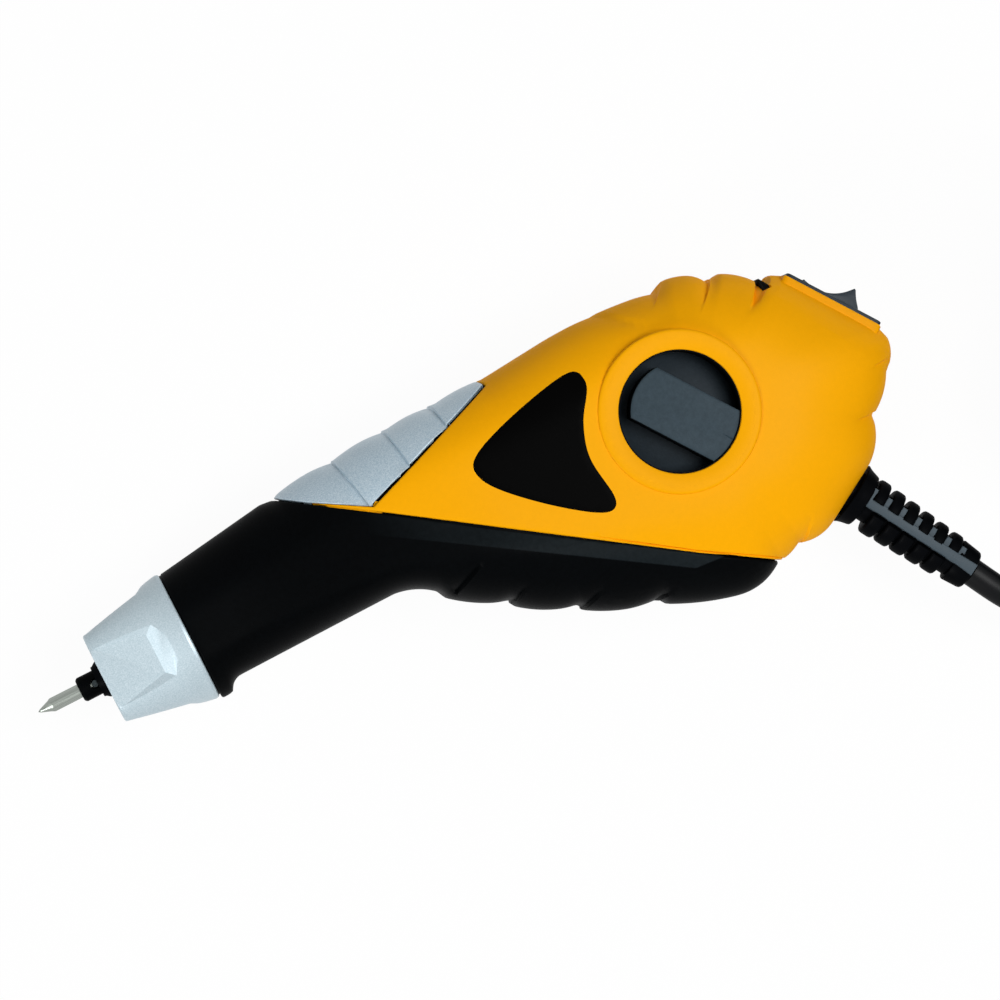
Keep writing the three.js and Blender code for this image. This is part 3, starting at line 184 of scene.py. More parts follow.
def trace_outline(step):
    corners = [at(share) for share in OUTLINE]
    points = []
    for i, corner in enumerate(corners):
        chord = corners[(i + 1) % len(corners)] - corner
        outward = np.array((-chord[1], chord[0]))
        steps = max(1, round(np.linalg.norm(chord) / step))
        for k in range(steps):
            share = k / steps
            points.append(corner + chord * share + outward * 4 * OUTLINE[i][2] * share * (1 - share))
    return np.array(points[::-1])


def bridge(made, low, high):
    """The faces between two rings of as many points."""
    for k in range(len(low)):
        after = (k + 1) % len(low)
        made.faces.new((low[k], low[after], high[after], high[k]))


class Skin:
    """The housing's outer surface, as rings of points from the parting line up to the spine."""

    angles = np.radians((
        0, 1, 2.2, 3.8, 6, 9, 12.5, 16.5, 21, 26, 31, 36, 41, 46, 51, 56, 60.5, 65, 69, 73, 77, 81, 85,
        88, 90,
    ))

    def __init__(self, depth=0.06, step=0.65):
        self.rim = mean_along(trace_outline(step), 0.35, 2)
        self.shoulder = mean_along(trace_outline(step), SHOULDER_REACH, 8)
        start = np.array(SPINE_START)
        run = DIAL_PLACE - start
        share = np.clip((self.shoulder - start) @ run / (run @ run), 0, 1)
        self.anchor = start + share[:, None] * run
        grown = smoothstep((self.anchor[:, 0] - SHELL_START) / SHELL_LENGTH, *GROWTH)
        half = HALF_THICKNESS[0] + (HALF_THICKNESS[1] - HALF_THICKNESS[0]) * grown - depth
        power = 2 / (SQUARENESS[0] + (SQUARENESS[1] - SQUARENESS[0]) * grown)
        stations = round(np.linalg.norm(run) / 1.6)
        spine = start + (np.round(share * stations) / stations)[:, None] * run
        rows = []
        for angle in self.angles[:-1]:
            out = self.shoulder + (self.rim - self.shoulder) * math.cos(angle) ** 4 - self.anchor
            length = np.linalg.norm(out, axis=1)
            reach = (length - depth) * max(math.cos(angle), 0) ** power
            rise = (math.sin(angle) / math.sin(FACE_ANGLE)) ** power
            blend = np.clip(0.5 + 0.5 * (1 - rise) / 0.06, 0, 1)
            rise = 1 + (rise - 1) * blend - 0.06 * blend * (1 - blend)
            plan = self.anchor + out * (reach / length)[:, None]
            rows.append(np.column_stack([plan, half * rise]))
        nearest = np.round(share * stations).astype(int)
        level = np.zeros(stations + 1)
        np.maximum.at(level, nearest, rows[-1][:, 2])
        rows.append(np.column_stack([spine, level[nearest]]))
        self.rows = np.array(rows)

    def mesh(self, sides):
        """A bmesh of the skin's left side, 1, its right side, -1, or both."""
        made = bmesh.new()
        for side in sides:
            rows = [[made.verts.new((x, y, z * side)) for x, y, z in row] for row in self.rows]
            for low, high in zip(rows, rows[1:]):
                bridge(made, *((low, high) if side > 0 else (high, low)))
        bmesh.ops.remove_doubles(made, verts=made.verts, dist=0.02)
        return made

    def height(self):
        """A function that gives the left side's height over a point of the plan."""
        made = self.mesh([1])
        tree = BVHTree.FromBMesh(made)
        made.free()

        def over(x, y):
            hit = tree.ray_cast(Vector((x, y, 60)), Vector((0, 0, -1)))[0]
            return hit.z if hit else 0.0

        return over


SKIN = Skin()
HEIGHT_AT = SKIN.height()


# Shader values and finishes

class Signal:
    """A shader value that Python's operators turn into Math nodes."""

    def __init__(self, nodes, socket):
        self.nodes = nodes
        self.socket = socket

    def maths(self, operation, first, second):
        made = self.nodes.node("ShaderNodeMath", {0: first, 1: second}, operation=operation)
        return Signal(self.nodes, made.outputs[0])

    def __add__(self, other):
        return self.maths("ADD", self, other)

    __radd__ = __add__

    def __mul__(self, other):
        return self.maths("MULTIPLY", self, other)

    __rmul__ = __mul__

    def __sub__(self, other):
        return self.maths("SUBTRACT", self, other)

    def __rsub__(self, other):
        return self.maths("SUBTRACT", other, self)


class Nodes:
    """The node tree of a material or a world, filled from its output inwards."""

    def __init__(self, owner, output):
        owner.use_nodes = True
        self.tree = owner.node_tree
        self.tree.nodes.clear()
        self.output = self.tree.nodes.new(output)

    def link(self, socket, value):
        if isinstance(value, Signal):
            value = value.socket
        if isinstance(value, bpy.types.NodeSocket):
            self.tree.links.new(value, socket)
        else:
            socket.default_value = value

    def node(self, kind, sockets, **settings):
        made = self.tree.nodes.new(kind)
        for key, value in settings.items():
            setattr(made, key, value)
        for key, value in sockets.items():
            self.link(made.inputs[key], value)
        return made

    def seen(self):
        """1 for what the camera, a mirror or a clear thing sees, and 0 for what only lights the scene."""
        path = self.node("ShaderNodeLightPath", {})
        camera, glossy, clear = (
            Signal(self, path.outputs[f"Is {ray} Ray"]) for ray in ("Camera", "Glossy", "Transmission")
        )
        return camera + glossy + clear

    def show_mixed(self, share, first, second):
        """Shows one shader or another, by a share."""
        mixed = self.node("ShaderNodeMixShader", {0: share, 1: first, 2: second})
        self.link(self.output.inputs["Surface"], mixed.outputs[0])


FINISHES = {}
WHITE = (1, 1, 1, 1)


class Finish(Nodes):
    """One named material round a Principled shader."""

    def __init__(self, name, **constants):
        FINISHES[name] = self.material = bpy.data.materials.new(name)
        super().__init__(self.material, "ShaderNodeOutputMaterial")
        self.surface = self.node("ShaderNodeBsdfPrincipled", constants)
        self.link(self.output.inputs["Surface"], self.surface.outputs[0])
        self.where = self.node("ShaderNodeTexCoord", {}).outputs["Object"]

    def noise(self, scale, detail=3.0, roughness=0.5, stretch=(1, 1, 1)):
        where = self.node("ShaderNodeMapping", {"Vector": self.where, "Scale": stretch})
        sockets = {"Vector": where.outputs[0], "Scale": scale, "Detail": detail, "Roughness": roughness}
        return Signal(self, self.node("ShaderNodeTexNoise", sockets).outputs["Fac"])

    def ramp(self, value, low, high):
        """0 under low and 1 over high, straight between them."""
        made = self.node("ShaderNodeMapRange", {"Value": value, "From Min": low, "From Max": high})
        return Signal(self, made.outputs["Result"])

    def mix(self, share, first, second):
        made = self.node("ShaderNodeMix", {"Factor": share}, data_type="RGBA")
        colours = [socket for socket in made.inputs if socket.type == "RGBA"]
        self.link(colours[0], first)
        self.link(colours[1], second)
        return next(socket for socket in made.outputs if socket.type == "RGBA")

    def set(self, name, value):
        self.link(self.surface.inputs[name], value)

    def bump(self, height, strength, distance):
        sockets = {"Height": height, "Strength": strength, "Distance": distance}
        self.set("Normal", self.node("ShaderNodeBump", sockets).outputs["Normal"])

    def mould_grain(self, coarse, fine, depth):
        """The spark-eroded grain of a mould, in two sizes."""
        self.bump(self.noise(coarse, 2.0) + self.noise(fine, 1.0) * 0.5, depth, 0.00006)

    def speck(self):
        return self.ramp(self.noise(900.0, 3.0, 0.7), 0.3, 0.7)


def colour(red, green, blue):
    """A display colour, 0 to 255, as linear light."""
    linear = [((c / 255 + 0.055) / 1.055) ** 2.4 if c > 10 else c / 255 / 12.92 for c in (red, green, blue)]
    return (*linear, 1.0)


def shade(tint, share):
    return (*(min(1.0, c * share) for c in tint[:3]), 1.0)


def moulding(name, tint, roughness, specular, grain=2600.0, depth=0.35, mottle=0.06, coat=0.0):
    """Moulded plastic: a fine spark-eroded grain, faint flow marks and rubbed patches."""
    made = Finish(name, **{"Specular IOR Level": specular, "Coat Weight": coat, "Coat Roughness": 0.4})
    rubbed = made.ramp(made.noise(90.0, 5.0, 0.6), 0.45, 0.75)
    tone = made.noise(38.0, 4.0) * 0.5 + made.speck() * 0.5
    made.set("Base Color", made.mix(tone, shade(tint, 1 - mottle), shade(tint, 1 + mottle)))
    made.set("Roughness", rubbed * -0.08 + roughness)
    made.mould_grain(grain, grain * 2.7, depth)


def grip_plastic(tint):
    """The grip's plastic, painted greyer along the flat band under the seam as a sheen, and lighter in soft
    patches of painted sheen.
    """
    made = Finish("grip_plastic", Roughness=0.38, **{
        "Specular IOR Level": 0.004, "Coat Weight": 0.03, "Coat Roughness": 0.45})
    place = made.node("ShaderNodeSeparateXYZ", {0: made.where})
    x, y = ((Signal(made, place.outputs[axis]) - NEEDLE_POINT[axis]) * (1 / MM) for axis in (0, 1))
    band = made.ramp(x, 78.0, 108.0)
    for flat in BAND:
        (start_x, start_y), (away_x, away_y) = flat.start.tolist(), flat.away.tolist()
        band = band * made.ramp((x - start_x) * away_x + (y - start_y) * away_y, -0.1, 0.15)
    # Painted sheen: soft noise patches lighten the ground, mixed with the plastic's own fine speck
    sheen = made.ramp(made.noise(24.0, 3.0), 0.35, 0.7)
    speck = made.speck() * 0.5 + sheen * 0.5
    ground = made.mix(speck, shade(tint, 0.6), shade(tint, 1.7))
    # Painted sheen: the flat band under the seam is painted greyer, as where it catches the light
    made.set("Base Color", made.mix(band * (speck * 0.6 + 0.5), ground, colour(27, 33, 36)))
    made.mould_grain(2600.0, 7000.0, 0.35)


def metal(name, tint, roughness, stretch, scratch=1400.0, depth=0.25, contrast=0.13):
    """Ground or turned metal with marks drawn out along the way it was cut."""
    made = Finish(name, Metallic=1.0)
    marks = made.noise(scratch, 4.0, 0.65, stretch)
    made.set("Base Color", made.mix(marks, shade(tint, 0.95 - contrast), shade(tint, 0.95 + contrast)))
    made.set("Roughness", marks * 0.16 + roughness - 0.08)
    made.bump(marks, depth, 0.00004)


def silver_paint(name, dark, light):
    """Satin metallic paint: flakes of slightly different brightness over a smooth ground."""
    made = Finish(name, Metallic=0.3, **{"Specular IOR Level": 0.3})
    flake = made.noise(3800.0, 2.0)
    ground = made.mix(made.noise(45.0, 3.0), dark, light)
    made.set("Base Color", made.mix(made.ramp(flake, 0.35, 0.75), ground, colour(204, 217, 224)))
    made.set("Roughness", flake * 0.2 + 0.32)
    made.bump(flake, 0.3, 0.00005)


def winding_wire(name):
    """Enamelled wire wound side by side round the magnet's axis."""
    made = Finish(name, Metallic=0.9, Roughness=0.3)
    sockets = {"Vector": made.where, "Scale": 900.0, "Distortion": 0.4}
    wave = made.node("ShaderNodeTexWave", sockets, bands_direction="X").outputs["Fac"]
    made.set("Base Color", made.mix(wave, colour(120, 52, 20), colour(205, 112, 60)))
    made.bump(wave, 0.8, 0.0002)


# Mesh helpers: pieces are drawn in millimetres in the working frame

def to_metres(point):
    return NEEDLE_POINT + Vector(point) * MM


SHARP = 35.0


def smooth(mesh, sharp):
    """Shades a mesh smoothly but for the edges above an angle in degrees."""
    mesh.shade_smooth()
    mesh.set_sharp_from_angle(angle=math.radians(sharp))


def piece(name, made, material, replaces=(), body="housing", slot=None, sharp=SHARP, frame_of=None):
    """Turns a bmesh in millimetres into a finished piece that rides on a body."""
    for vert in made.verts:
        vert.co = to_metres(frame_of @ vert.co if frame_of else vert.co)
    mesh = bpy.data.meshes.new(name)
    made.to_mesh(mesh)
    made.free()
    smooth(mesh, sharp)
    made = bpy.data.objects.new(name, mesh)
    bpy.context.scene.collection.objects.link(made)
    mesh.materials.append(FINISHES[material])
    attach(made, body)
    if replaces:
        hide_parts(*replaces)
    return made


def settle(made):
    """Bakes a piece's modifiers into its mesh."""
    whole = bpy.data.meshes.new_from_object(made.evaluated_get(bpy.context.evaluated_depsgraph_get()))
    made.modifiers.clear()
    made.data = whole
    smooth(whole, SHARP)


def round_edges(made, width, angle=30.0):
    modifier = made.modifiers.new("Edges", "BEVEL")
    modifier.width = width * MM
    modifier.segments = 2
    modifier.limit_method = "ANGLE"
    modifier.angle_limit = math.radians(angle)
    modifier.harden_normals = True


def carve(made, cutters):
    """Cuts one piece with bmesh tools that are drawn in the working frame."""
    for k, cutter in enumerate(cutters):
        for vert in cutter.verts:
            vert.co = to_metres(vert.co)
        mesh = bpy.data.meshes.new(f"{made.name}_tool_{k}")
        cutter.to_mesh(mesh)
        cutter.free()
        tool = bpy.data.objects.new(mesh.name, mesh)
        bpy.context.scene.collection.objects.link(tool)
        modifier = made.modifiers.new("Cut", "BOOLEAN")
        modifier.operation = "DIFFERENCE"
        modifier.solver = "EXACT"
        modifier.object = tool
        settle(made)
        bpy.data.objects.remove(tool)
        if not made.data.polygons:
            raise RuntimeError(f"nothing is left of {made.name} after its cut {k}")


def squared(value, power):
    """A power of a sine or cosine that keeps its sign: it squares a circle."""
    return math.copysign(abs(value) ** power, value)


def loft(rings):
    """A closed bmesh through rings of points."""
    made = bmesh.new()
    rings = [[made.verts.new(point) for point in ring] for ring in rings]
    for low, high in zip(rings, rings[1:]):
        bridge(made, low, high)
    made.faces.new(rings[0][::-1])
    made.faces.new(rings[-1])
    bmesh.ops.recalc_face_normals(made, faces=made.faces)
    return made


def lathe(profile, segments=64, closed=True, arc=None):
    """A bmesh turned about X from places and radii; a third number squares the section, 2 being round."""
    made = bmesh.new()
    start, end = arc or (0, 2 * math.pi)
    steps = segments + 1 if arc else segments
    angles = [start + (end - start) * k / segments for k in range(steps)]
    rings = []
    for x, radius, *power in profile:
        if radius < 1e-6 and not arc:
            rings.append([made.verts.new((x, 0, 0))] * steps)
            continue
        bend = 2 / power[0] if power else 1
        rings.append([
            made.verts.new((x, squared(math.cos(a), bend) * radius, squared(math.sin(a), bend) * radius))
            for a in angles
        ])
    pairs = list(zip(rings, rings[1:] + rings[:1] if closed else rings[1:]))
    for low, high in pairs:
        for k in range(segments):
            after = (k + 1) % steps
            corners = list(dict.fromkeys((low[k], high[k], high[after], low[after])))
            if len(corners) > 2:
                made.faces.new(corners)
    if arc:
        made.faces.new([ring[0] for ring in rings])
        made.faces.new([ring[-1] for ring in rings])
    bmesh.ops.recalc_face_normals(made, faces=made.faces)
    return made


def inset_loop(loop, distance):
    """An anticlockwise loop with its edges moved inwards."""
    before = loop - np.roll(loop, 1, axis=0)
    after = np.roll(loop, -1, axis=0) - loop
    along = sum(run / np.linalg.norm(run, axis=1)[:, None] for run in (before, after))
    inward = np.column_stack([-along[:, 1], along[:, 0]])
    return loop + inward * (2 * distance / np.maximum((inward ** 2).sum(axis=1), 0.6))[:, None]


def anticlockwise(loop):
    loop = np.array(loop, float)
    return loop[::-1] if np.cross(loop, np.roll(loop, -1, axis=0)).sum() < 0 else loop


def stack(loop, levels):
    """A bmesh of one outline drawn at several levels, given as pairs of inset and height."""
    loop = anticlockwise(loop)
    return loft([[(x, y, height) for x, y in inset_loop(loop, inset)] for inset, height in levels])


def circle(place, radius, segments=32):
    angles = np.arange(segments) * 2 * math.pi / segments
    return list(np.column_stack([place[0] + radius * np.cos(angles), place[1] + radius * np.sin(angles)]))


def cylinder(place, radius, low, high, segments=96):
    return stack(circle(place, radius, segments), [(0, low), (0, high)])


def block(low, high, frame_of=None):
    made = bmesh.new()
    bmesh.ops.create_cube(made, size=1)
    low, high = Vector(low), Vector(high)
    for vert in made.verts:
        vert.co = Vector((low[k] + (high[k] - low[k]) * (vert.co[k] + 0.5) for k in range(3)))
        if frame_of:
            vert.co = frame_of @ vert.co
    return made


def joined(parts):
    """Several bmeshes as one."""
    whole = bmesh.new()
    for part in parts:
        mesh = bpy.data.meshes.new("joined")
        part.to_mesh(mesh)
        part.free()
        whole.from_mesh(mesh)
        bpy.data.meshes.remove(mesh)
    return whole


def rounded(corners, radius, steps=6):
    """A polygon with its corners replaced by arcs."""
    corners = [np.array(corner, float) for corner in corners]
    loop = []
    for before, corner, after in zip(corners[-1:] + corners[:-1], corners, corners[1:] + corners[:1]):
        back, ahead = unit(before - corner), unit(after - corner)
        for t in np.linspace(0, 1, steps):
            loop.append(corner + radius * (back * (1 - t) ** 2 + ahead * t ** 2))
    return loop


def hull(corners, frame_of=None):
    made = bmesh.new()
    for corner in corners:
        made.verts.new(frame_of @ Vector(corner) if frame_of else corner)
    bmesh.ops.convex_hull(made, input=made.verts[:])
    return made


def moved(made, matrix):
    made.transform(matrix)
    return made


# Housing shells

def plane(place, normal):
    """A plane that stands on a line of the plan."""
    return Vector((*place, 0)), Vector((*normal, 0))


def leftward(first, second):
    """The direction that lies left of a line of the plan."""
    run = unit(np.array(second) - first)
    return np.array((-run[1], run[0]))


def line_cut(first, second, keep_left, lift=(0.0, 0.0)):
    """A cut along a line of the plan; what lies right of it goes, or left of it."""
    first, second = np.array(first) + lift, np.array(second) + lift
    return plane(first, leftward(first, second) * (-1 if keep_left else 1))


def split(made, cut, geometry=None, clear=False):
    """Cuts the faces, or all of them, with a plane and gives back what came of them."""
    if geometry is None:
        geometry = made.verts[:] + made.edges[:] + made.faces[:]
    return bmesh.ops.bisect_plane(
        made, geom=geometry, dist=0.001, plane_co=cut[0], plane_no=cut[1], clear_outer=clear)["geom"]


def with_corners(faces):
    return list({item for face in faces for item in (*face.verts, *face.edges)}) + faces


class Step:
    """A shingle's edge: the skin sinks towards a line of the plan and rises again right behind it."""

    def __init__(self, start, end, depth, width, rise=0.4, fade=0.45, low=-1):
        self.start = np.array(start, float)
        run = np.array(end, float) - self.start
        self.length = np.linalg.norm(run)
        self.along = run / self.length
        self.low = np.array((self.along[1], -self.along[0]))
        if self.low[0] * low < 0:
            self.low = -self.low
        self.depth, self.width, self.rise, self.fade = depth, width, rise, fade

    def place(self, point):
        off = np.array(point.xy) - self.start
        return off @ self.along / self.length, off @ self.low

    def near(self, point):
        share, across = self.place(point)
        return -0.4 < share < 1.1 and -self.rise - 1.5 < across < self.width + 1.5

    def planes(self):
        for across in (-self.rise, 0, 0.35 * self.width, self.width):
            yield plane(self.start + self.low * across, self.low)

    def sink(self, point):
        share, across = self.place(point)
        if share > 1 or share < -0.4 or not -self.rise < across < self.width:
            return 0.0
        fall = (1 - across / self.width) ** 2 if across > 0 else 1 + across / self.rise
        edge = 0.45 + 0.55 * float(smoothstep(abs(point.z), 0, 5))
        return self.depth * fall * edge * (1 - float(smoothstep(share, self.fade, 1)))


class Slope:
    """A flat that falls away from a line of the plan, on the line's left, down to a depth at most."""

    def __init__(self, start, end, fall, depth, clear=0.0):
        self.start = np.array(start, float)
        self.away = leftward(start, end)
        self.fall, self.depth, self.clear = fall, depth, clear

    def near(self, point):
        return abs(point.z) > self.clear and abs(self.beyond(point)) < 2

    def planes(self):
        for beyond in (-0.15, 0.15):
            yield plane(self.start + self.away * beyond, self.away)

    def sink(self, point):
        return min(self.depth, max(0.0, self.fall * self.beyond(point)))

    def beyond(self, point):
        return (np.array(point.xy) - self.start) @ self.away


def pierce(made, loop, low=0.0):
    """Opens the skin inside a convex loop of the plan, from a height up."""
    middle = sum(loop) / len(loop)
    reach = max(np.linalg.norm(point - middle) for point in loop) + 1.5
    cuts = [(Vector((0, 0, low)), Vector((0, 0, 1)))]
    for first, second in zip(loop, [*loop[1:], loop[0]]):
        run = second - first
        cuts.append((Vector((*first, 0)), Vector((run[1], -run[0], 0)).normalized()))
    geometry = with_corners([
        face for face in made.faces
        if np.linalg.norm(face.calc_center_median().xy - Vector(middle)) < reach
    ])
    for cut in cuts:
        geometry = split(made, cut, geometry)
    gone = []
    for face in geometry:
        if isinstance(face, bmesh.types.BMFace):
            centre = face.calc_center_median()
            if abs(centre.z) > low and inside(np.array(loop), centre.xy):
                gone.append(face)
    bmesh.ops.delete(made, geom=gone, context="FACES")


def room(cut, point):
    """How far a point lies inside a cut; a cut of several planes takes only what all of them leave out."""
    return max((place - point).dot(normal) for place, normal in cut)


def shell(sides, cuts, radius, relief=(), sink=None, wall=2.2, plain=(), holes=()):
    """A moulded shell: the skin inside the cuts, with rounded edges but for plain cuts, and a wall."""
    made = SKIN.mesh(sides)
    cuts = [cut if isinstance(cut, list) else [cut] for cut in cuts]
    for cut in [*cuts, *([each] for each in plain)]:
        for each in cut:
            split(made, each, clear=len(cut) == 1)
        if len(cut) > 1:
            gone = [face for face in made.faces if room(cut, face.calc_center_median()) < 0]
            bmesh.ops.delete(made, geom=gone, context="FACES")
    for cut in cuts:
        for place, normal in cut:
            for share in (0.13, 0.4, 0.7, 1):
                split(made, (place - normal * radius * share, normal))
    for form in relief:
        geometry = with_corners([face for face in made.faces if form.near(face.calc_center_median())])
        for cut in form.planes():
            geometry = split(made, cut, geometry)
    bmesh.ops.remove_doubles(made, verts=made.verts, dist=0.03)
    bmesh.ops.dissolve_degenerate(made, edges=made.edges, dist=0.01)
    made.normal_update()
    moves = []
    for vert in made.verts:
        near = sum(max(0.0, radius - room(cut, vert.co)) ** 2 for cut in cuts)
        depth = radius - math.sqrt(max(0.0, radius ** 2 - near))
        depth += sum(form.sink(vert.co) for form in relief if isinstance(form, Step))
        if sink:
            depth += sink(vert.co)
        moves.append(vert.normal * depth)
    for vert, move in zip(made.verts, moves):
        vert.co -= move
    for hole in holes:
        pierce(made, *hole)
    thicken(made, wall)
    return made


def thicken(made, wall):
    """Closes an open skin with an inner face a wall's thickness below it."""
    made.normal_update()
    outer = made.verts[:]
    faces = made.faces[:]
    rim = [loop for edge in made.edges if edge.is_boundary for loop in edge.link_loops]
    below = {vert: made.verts.new(vert.co - vert.normal * wall) for vert in outer}
    sides = [(loop.vert, loop.link_loop_next.vert) for loop in rim]
    for face in faces:
        made.faces.new([below[vert] for vert in reversed(face.verts)])
    for first, second in sides:
        made.faces.new((second, first, below[first], below[second]))


SEAM_TOP, SEAM_KNEE, SEAM_BEND, SEAM_END = (at(share) for share in SEAM)
SEAM_LINES = ((SEAM_TOP, SEAM_KNEE), (SEAM_KNEE, SEAM_BEND), (SEAM_BEND, SEAM_END))
SEAM_LIFT = (0.0, 1.2 * GAP)
TRIM_REAR = at(TRIM_BACK)
TRIM_FOOT = (SEAM_KNEE + SEAM_LIFT, TRIM_REAR)
TRIM_END = (TRIM_REAR - (0.35, 1.9), TRIM_REAR - (1.4, -0.6))
WEDGE = ((68.9, 14.6), SEAM_KNEE + (0.0, 1.3))
TRIM_STEPS = [
    Step(*ends, 0.8, 7.0, 0.3, 0.85)
    for ends in (((79.0, 18.8), (80.9, 6.6)), ((91.5, 20.0), (92.2, 10.2)), ((102.7, 20.3), (103.1, 13.8)))
]
BODY_STEPS = (
    Step((141.5, 22.8), (152.5, 12.6), 0.45, 4.0, 1.2, 0.3), Step((160.4, 22.6), (152.8, 17.2), 0.8, 4.5),
    Step((169.2, 18.4), (161.4, 12.2), 0.8, 4.5), Step((178.8, 13.6), (170.6, 6.9), 1.1, 3.0, low=1),
    Step((193.9, -15.2), (189.6, -15.0), 0.4, 2.5), Step((186.4, -24.1), (180.6, -23.4), 0.4, 2.5),
    Step((160.4, -43.0), (164.6, -36.4), 0.4, 3.0),
    Step((154.6, -42.2), (138.7, -32.5), 0.55, 0.4, 0.15, 0.98),
    Step((138.7, -32.5), (116.0, -16.8), 0.55, 0.4, 0.15, 0.3),
)
GRIP_STEPS = (
    Step((91.6, -16.3), (97.4, -13.4), 0.7, 3.0), Step((98.9, -25.4), (104.2, -22.2), 0.7, 4.0),
    Step((112.0, -33.2), (118.7, -30.3), 0.7, 4.0), Step((124.2, -40.2), (132.1, -37.2), 0.7, 4.0),
)
# Painted shade: the body is opened inside this loop over a black wedge that stands in for the shade in the
# rearmost fold
FOLD_SHADE = rounded(((177.9, 12.9), (179.0, 10.1), (176.9, 10.1)), 0.3, 4)
FOLD_SHADE_LOW = 4
BAND = (Slope((90.2, -5.6), (136.6, -35.5), 0.3, 1.5, 8), Slope((136.6, -35.5), (142.0, -35.9), 0.6, 1.5, 8))
BEZEL_FLAT = Slope((187.7, -8.3), (177.2, 10.1), -0.13, 0.7, 4)


def parting(side):
    return Vector((0, 0, side * GAP / 2)), Vector((0, 0, -side))


GRIP_CUTS = [[line_cut(*line, False) for line in SEAM_LINES], plane((SHELL_START, 0), (-1, 0))]
BODY_CUTS = [
    *(line_cut(*line, True, SEAM_LIFT) for line in SEAM_LINES[1:]),
    [
        line_cut(*TRIM_FOOT, False, leftward(*TRIM_FOOT) * -GAP),
        line_cut(*TRIM_END, False, (GAP, 0)),
    ],
]
# The body's thin edge that runs on between the grip and the trim
EDGE_CUTS = [*(line_cut(*line, True, SEAM_LIFT) for line in SEAM_LINES[:2]), line_cut(*WEDGE, False)]
TRIM_CUTS = [
    line_cut(*SEAM_LINES[0], True, SEAM_LIFT), line_cut(*WEDGE, True, (0, 0.1)),
    line_cut(*TRIM_FOOT, True, (0, 0.25)), line_cut(*TRIM_END, True),
]


def seam_lips():
    """Strips under the skin that close the seams from inside."""
    depth = 1.1
    strips = []
    for (first, last), past in zip((*SEAM_LINES, (SEAM_KNEE, TRIM_REAR)), (0.8, 0.8, -1.5, -1.5)):
        run, aside = unit(last - first), leftward(first, last)
        cuts = [
            plane(first + aside * 1.6, aside), plane(first - aside * 1.9, -aside),
            plane(first - run * 0.8, -run), plane(last + run * past, run),
        ]
        strips.append(shell([1, -1], cuts, 0.01, sink=lambda point: depth, wall=depth))
    return strips


def band_sink(point):
    """The grip's edge falls away towards the seam in a long flat band that closes at its rear end."""
    if abs(point.z) < 8:
        return 0.0
    edge = float(smoothstep(abs(point.z), 8, 11))
    return min(flat.sink(point) for flat in BAND) * float(smoothstep(point.x, 80, 100)) * edge


def bezel_sink(point):
    """A narrow flat falls away towards the switch."""
    return BEZEL_FLAT.sink(point) * float(smoothstep(abs(point.z), 4, 9))


class PenSizes(bpy.types.PropertyGroup):
    edge_radius: bpy.props.FloatProperty(
        name="Edge radius", description="Rounding of the shells' edges, in millimetres", default=0.5,
        min=0.1, max=1.5)
    cord_diameter: bpy.props.FloatProperty(
        name="Lead diameter", description="Outer diameter of the lead", default=0.0062, min=0.003, max=0.012,
        unit="LENGTH")
    cord_length: bpy.props.FloatProperty(
        name="Lead length", description="Length of the lead from the sleeve to the plug", default=1.8,
        min=0.5, max=5.0, unit="LENGTH")


class PenColours(bpy.types.PropertyGroup):
    body: bpy.props.FloatVectorProperty(
        name="Body", description="Colour of the housing", subtype="COLOR", size=4, min=0, max=1,
        default=colour(252, 174, 6))
    grip: bpy.props.FloatVectorProperty(
        name="Grip", description="Colour of the grip", subtype="COLOR", size=4, min=0, max=1,
        default=colour(3, 4, 5))
    dial: bpy.props.FloatVectorProperty(
        name="Dial", description="Colour of the dial", subtype="COLOR", size=4, min=0, max=1,
        default=colour(54, 67, 75))


class PEN_OT_finishes(bpy.types.Operator):
    """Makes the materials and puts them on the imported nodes"""

    bl_idname = "pen.finishes"
    bl_label = "Finishes"

    def execute(self, context):
        colours = context.scene.pen_colours
        moulding("orange_plastic", colours.body, 0.55, 0.006, mottle=0.03, coat=0.06)
        moulding("black_plastic", colours.grip, 0.38, 0.004, mottle=0.5, coat=0.03)
        grip_plastic(colours.grip)
        moulding("label_film", colour(4, 4, 4), 0.3, 0.004, grain=1200.0, depth=0.1, coat=0.01)
        moulding("grey_plastic", colours.dial, 0.5, 0.08, 1900.0, 0.6, 0.25)
        moulding("dial_plastic", colour(40, 48, 54), 0.5, 0.08, 1900.0, 0.5, 0.2)
        moulding("black_rubber", colour(4, 5, 7), 0.42, 0.004, 1500.0, 0.3, 0.3, 0.03)
        moulding("lead_rubber", colour(4, 5, 7), 0.35, 0.004, 1500.0, 0.2, coat=0.25)
        moulding("grey_rubber", colour(66, 78, 86), 0.5, 0.15, 1500.0, 0.3)
        moulding("switch_plastic", colour(40, 50, 58), 0.42, 0.15, mottle=0.08)
        moulding("white_plastic", colour(232, 230, 220), 0.5, 0.4)
        silver_paint("silver_paint", colour(168, 188, 197), colour(182, 201, 209))
        silver_paint("trim_paint", colour(150, 174, 190), colour(168, 191, 205))
        metal("steel", colour(178, 184, 180), 0.3, (0.06, 1, 1))
        metal("needle_steel", colour(150, 156, 150), 0.28, (0.02, 1, 1), 2600.0, 0.4, 0.6)
        metal("dark_steel", colour(52, 58, 60), 0.35, (1, 1, 1))
        metal("bronze", colour(205, 165, 90), 0.3, (1, 0.08, 1))
        winding_wire("copper")
        slots = {row["node"]: row["material_slot"] for row in frame["record"]["subparts"]}
        for name, node in frame["nodes"].items():
            node.data.materials.clear()
            node.data.materials.append(FINISHES[slots[name]])
            node.modifiers.new("Weld", "WELD").merge_threshold = 0.02 * MM
            round_edges(node, 0.15)
        return {"FINISHED"}


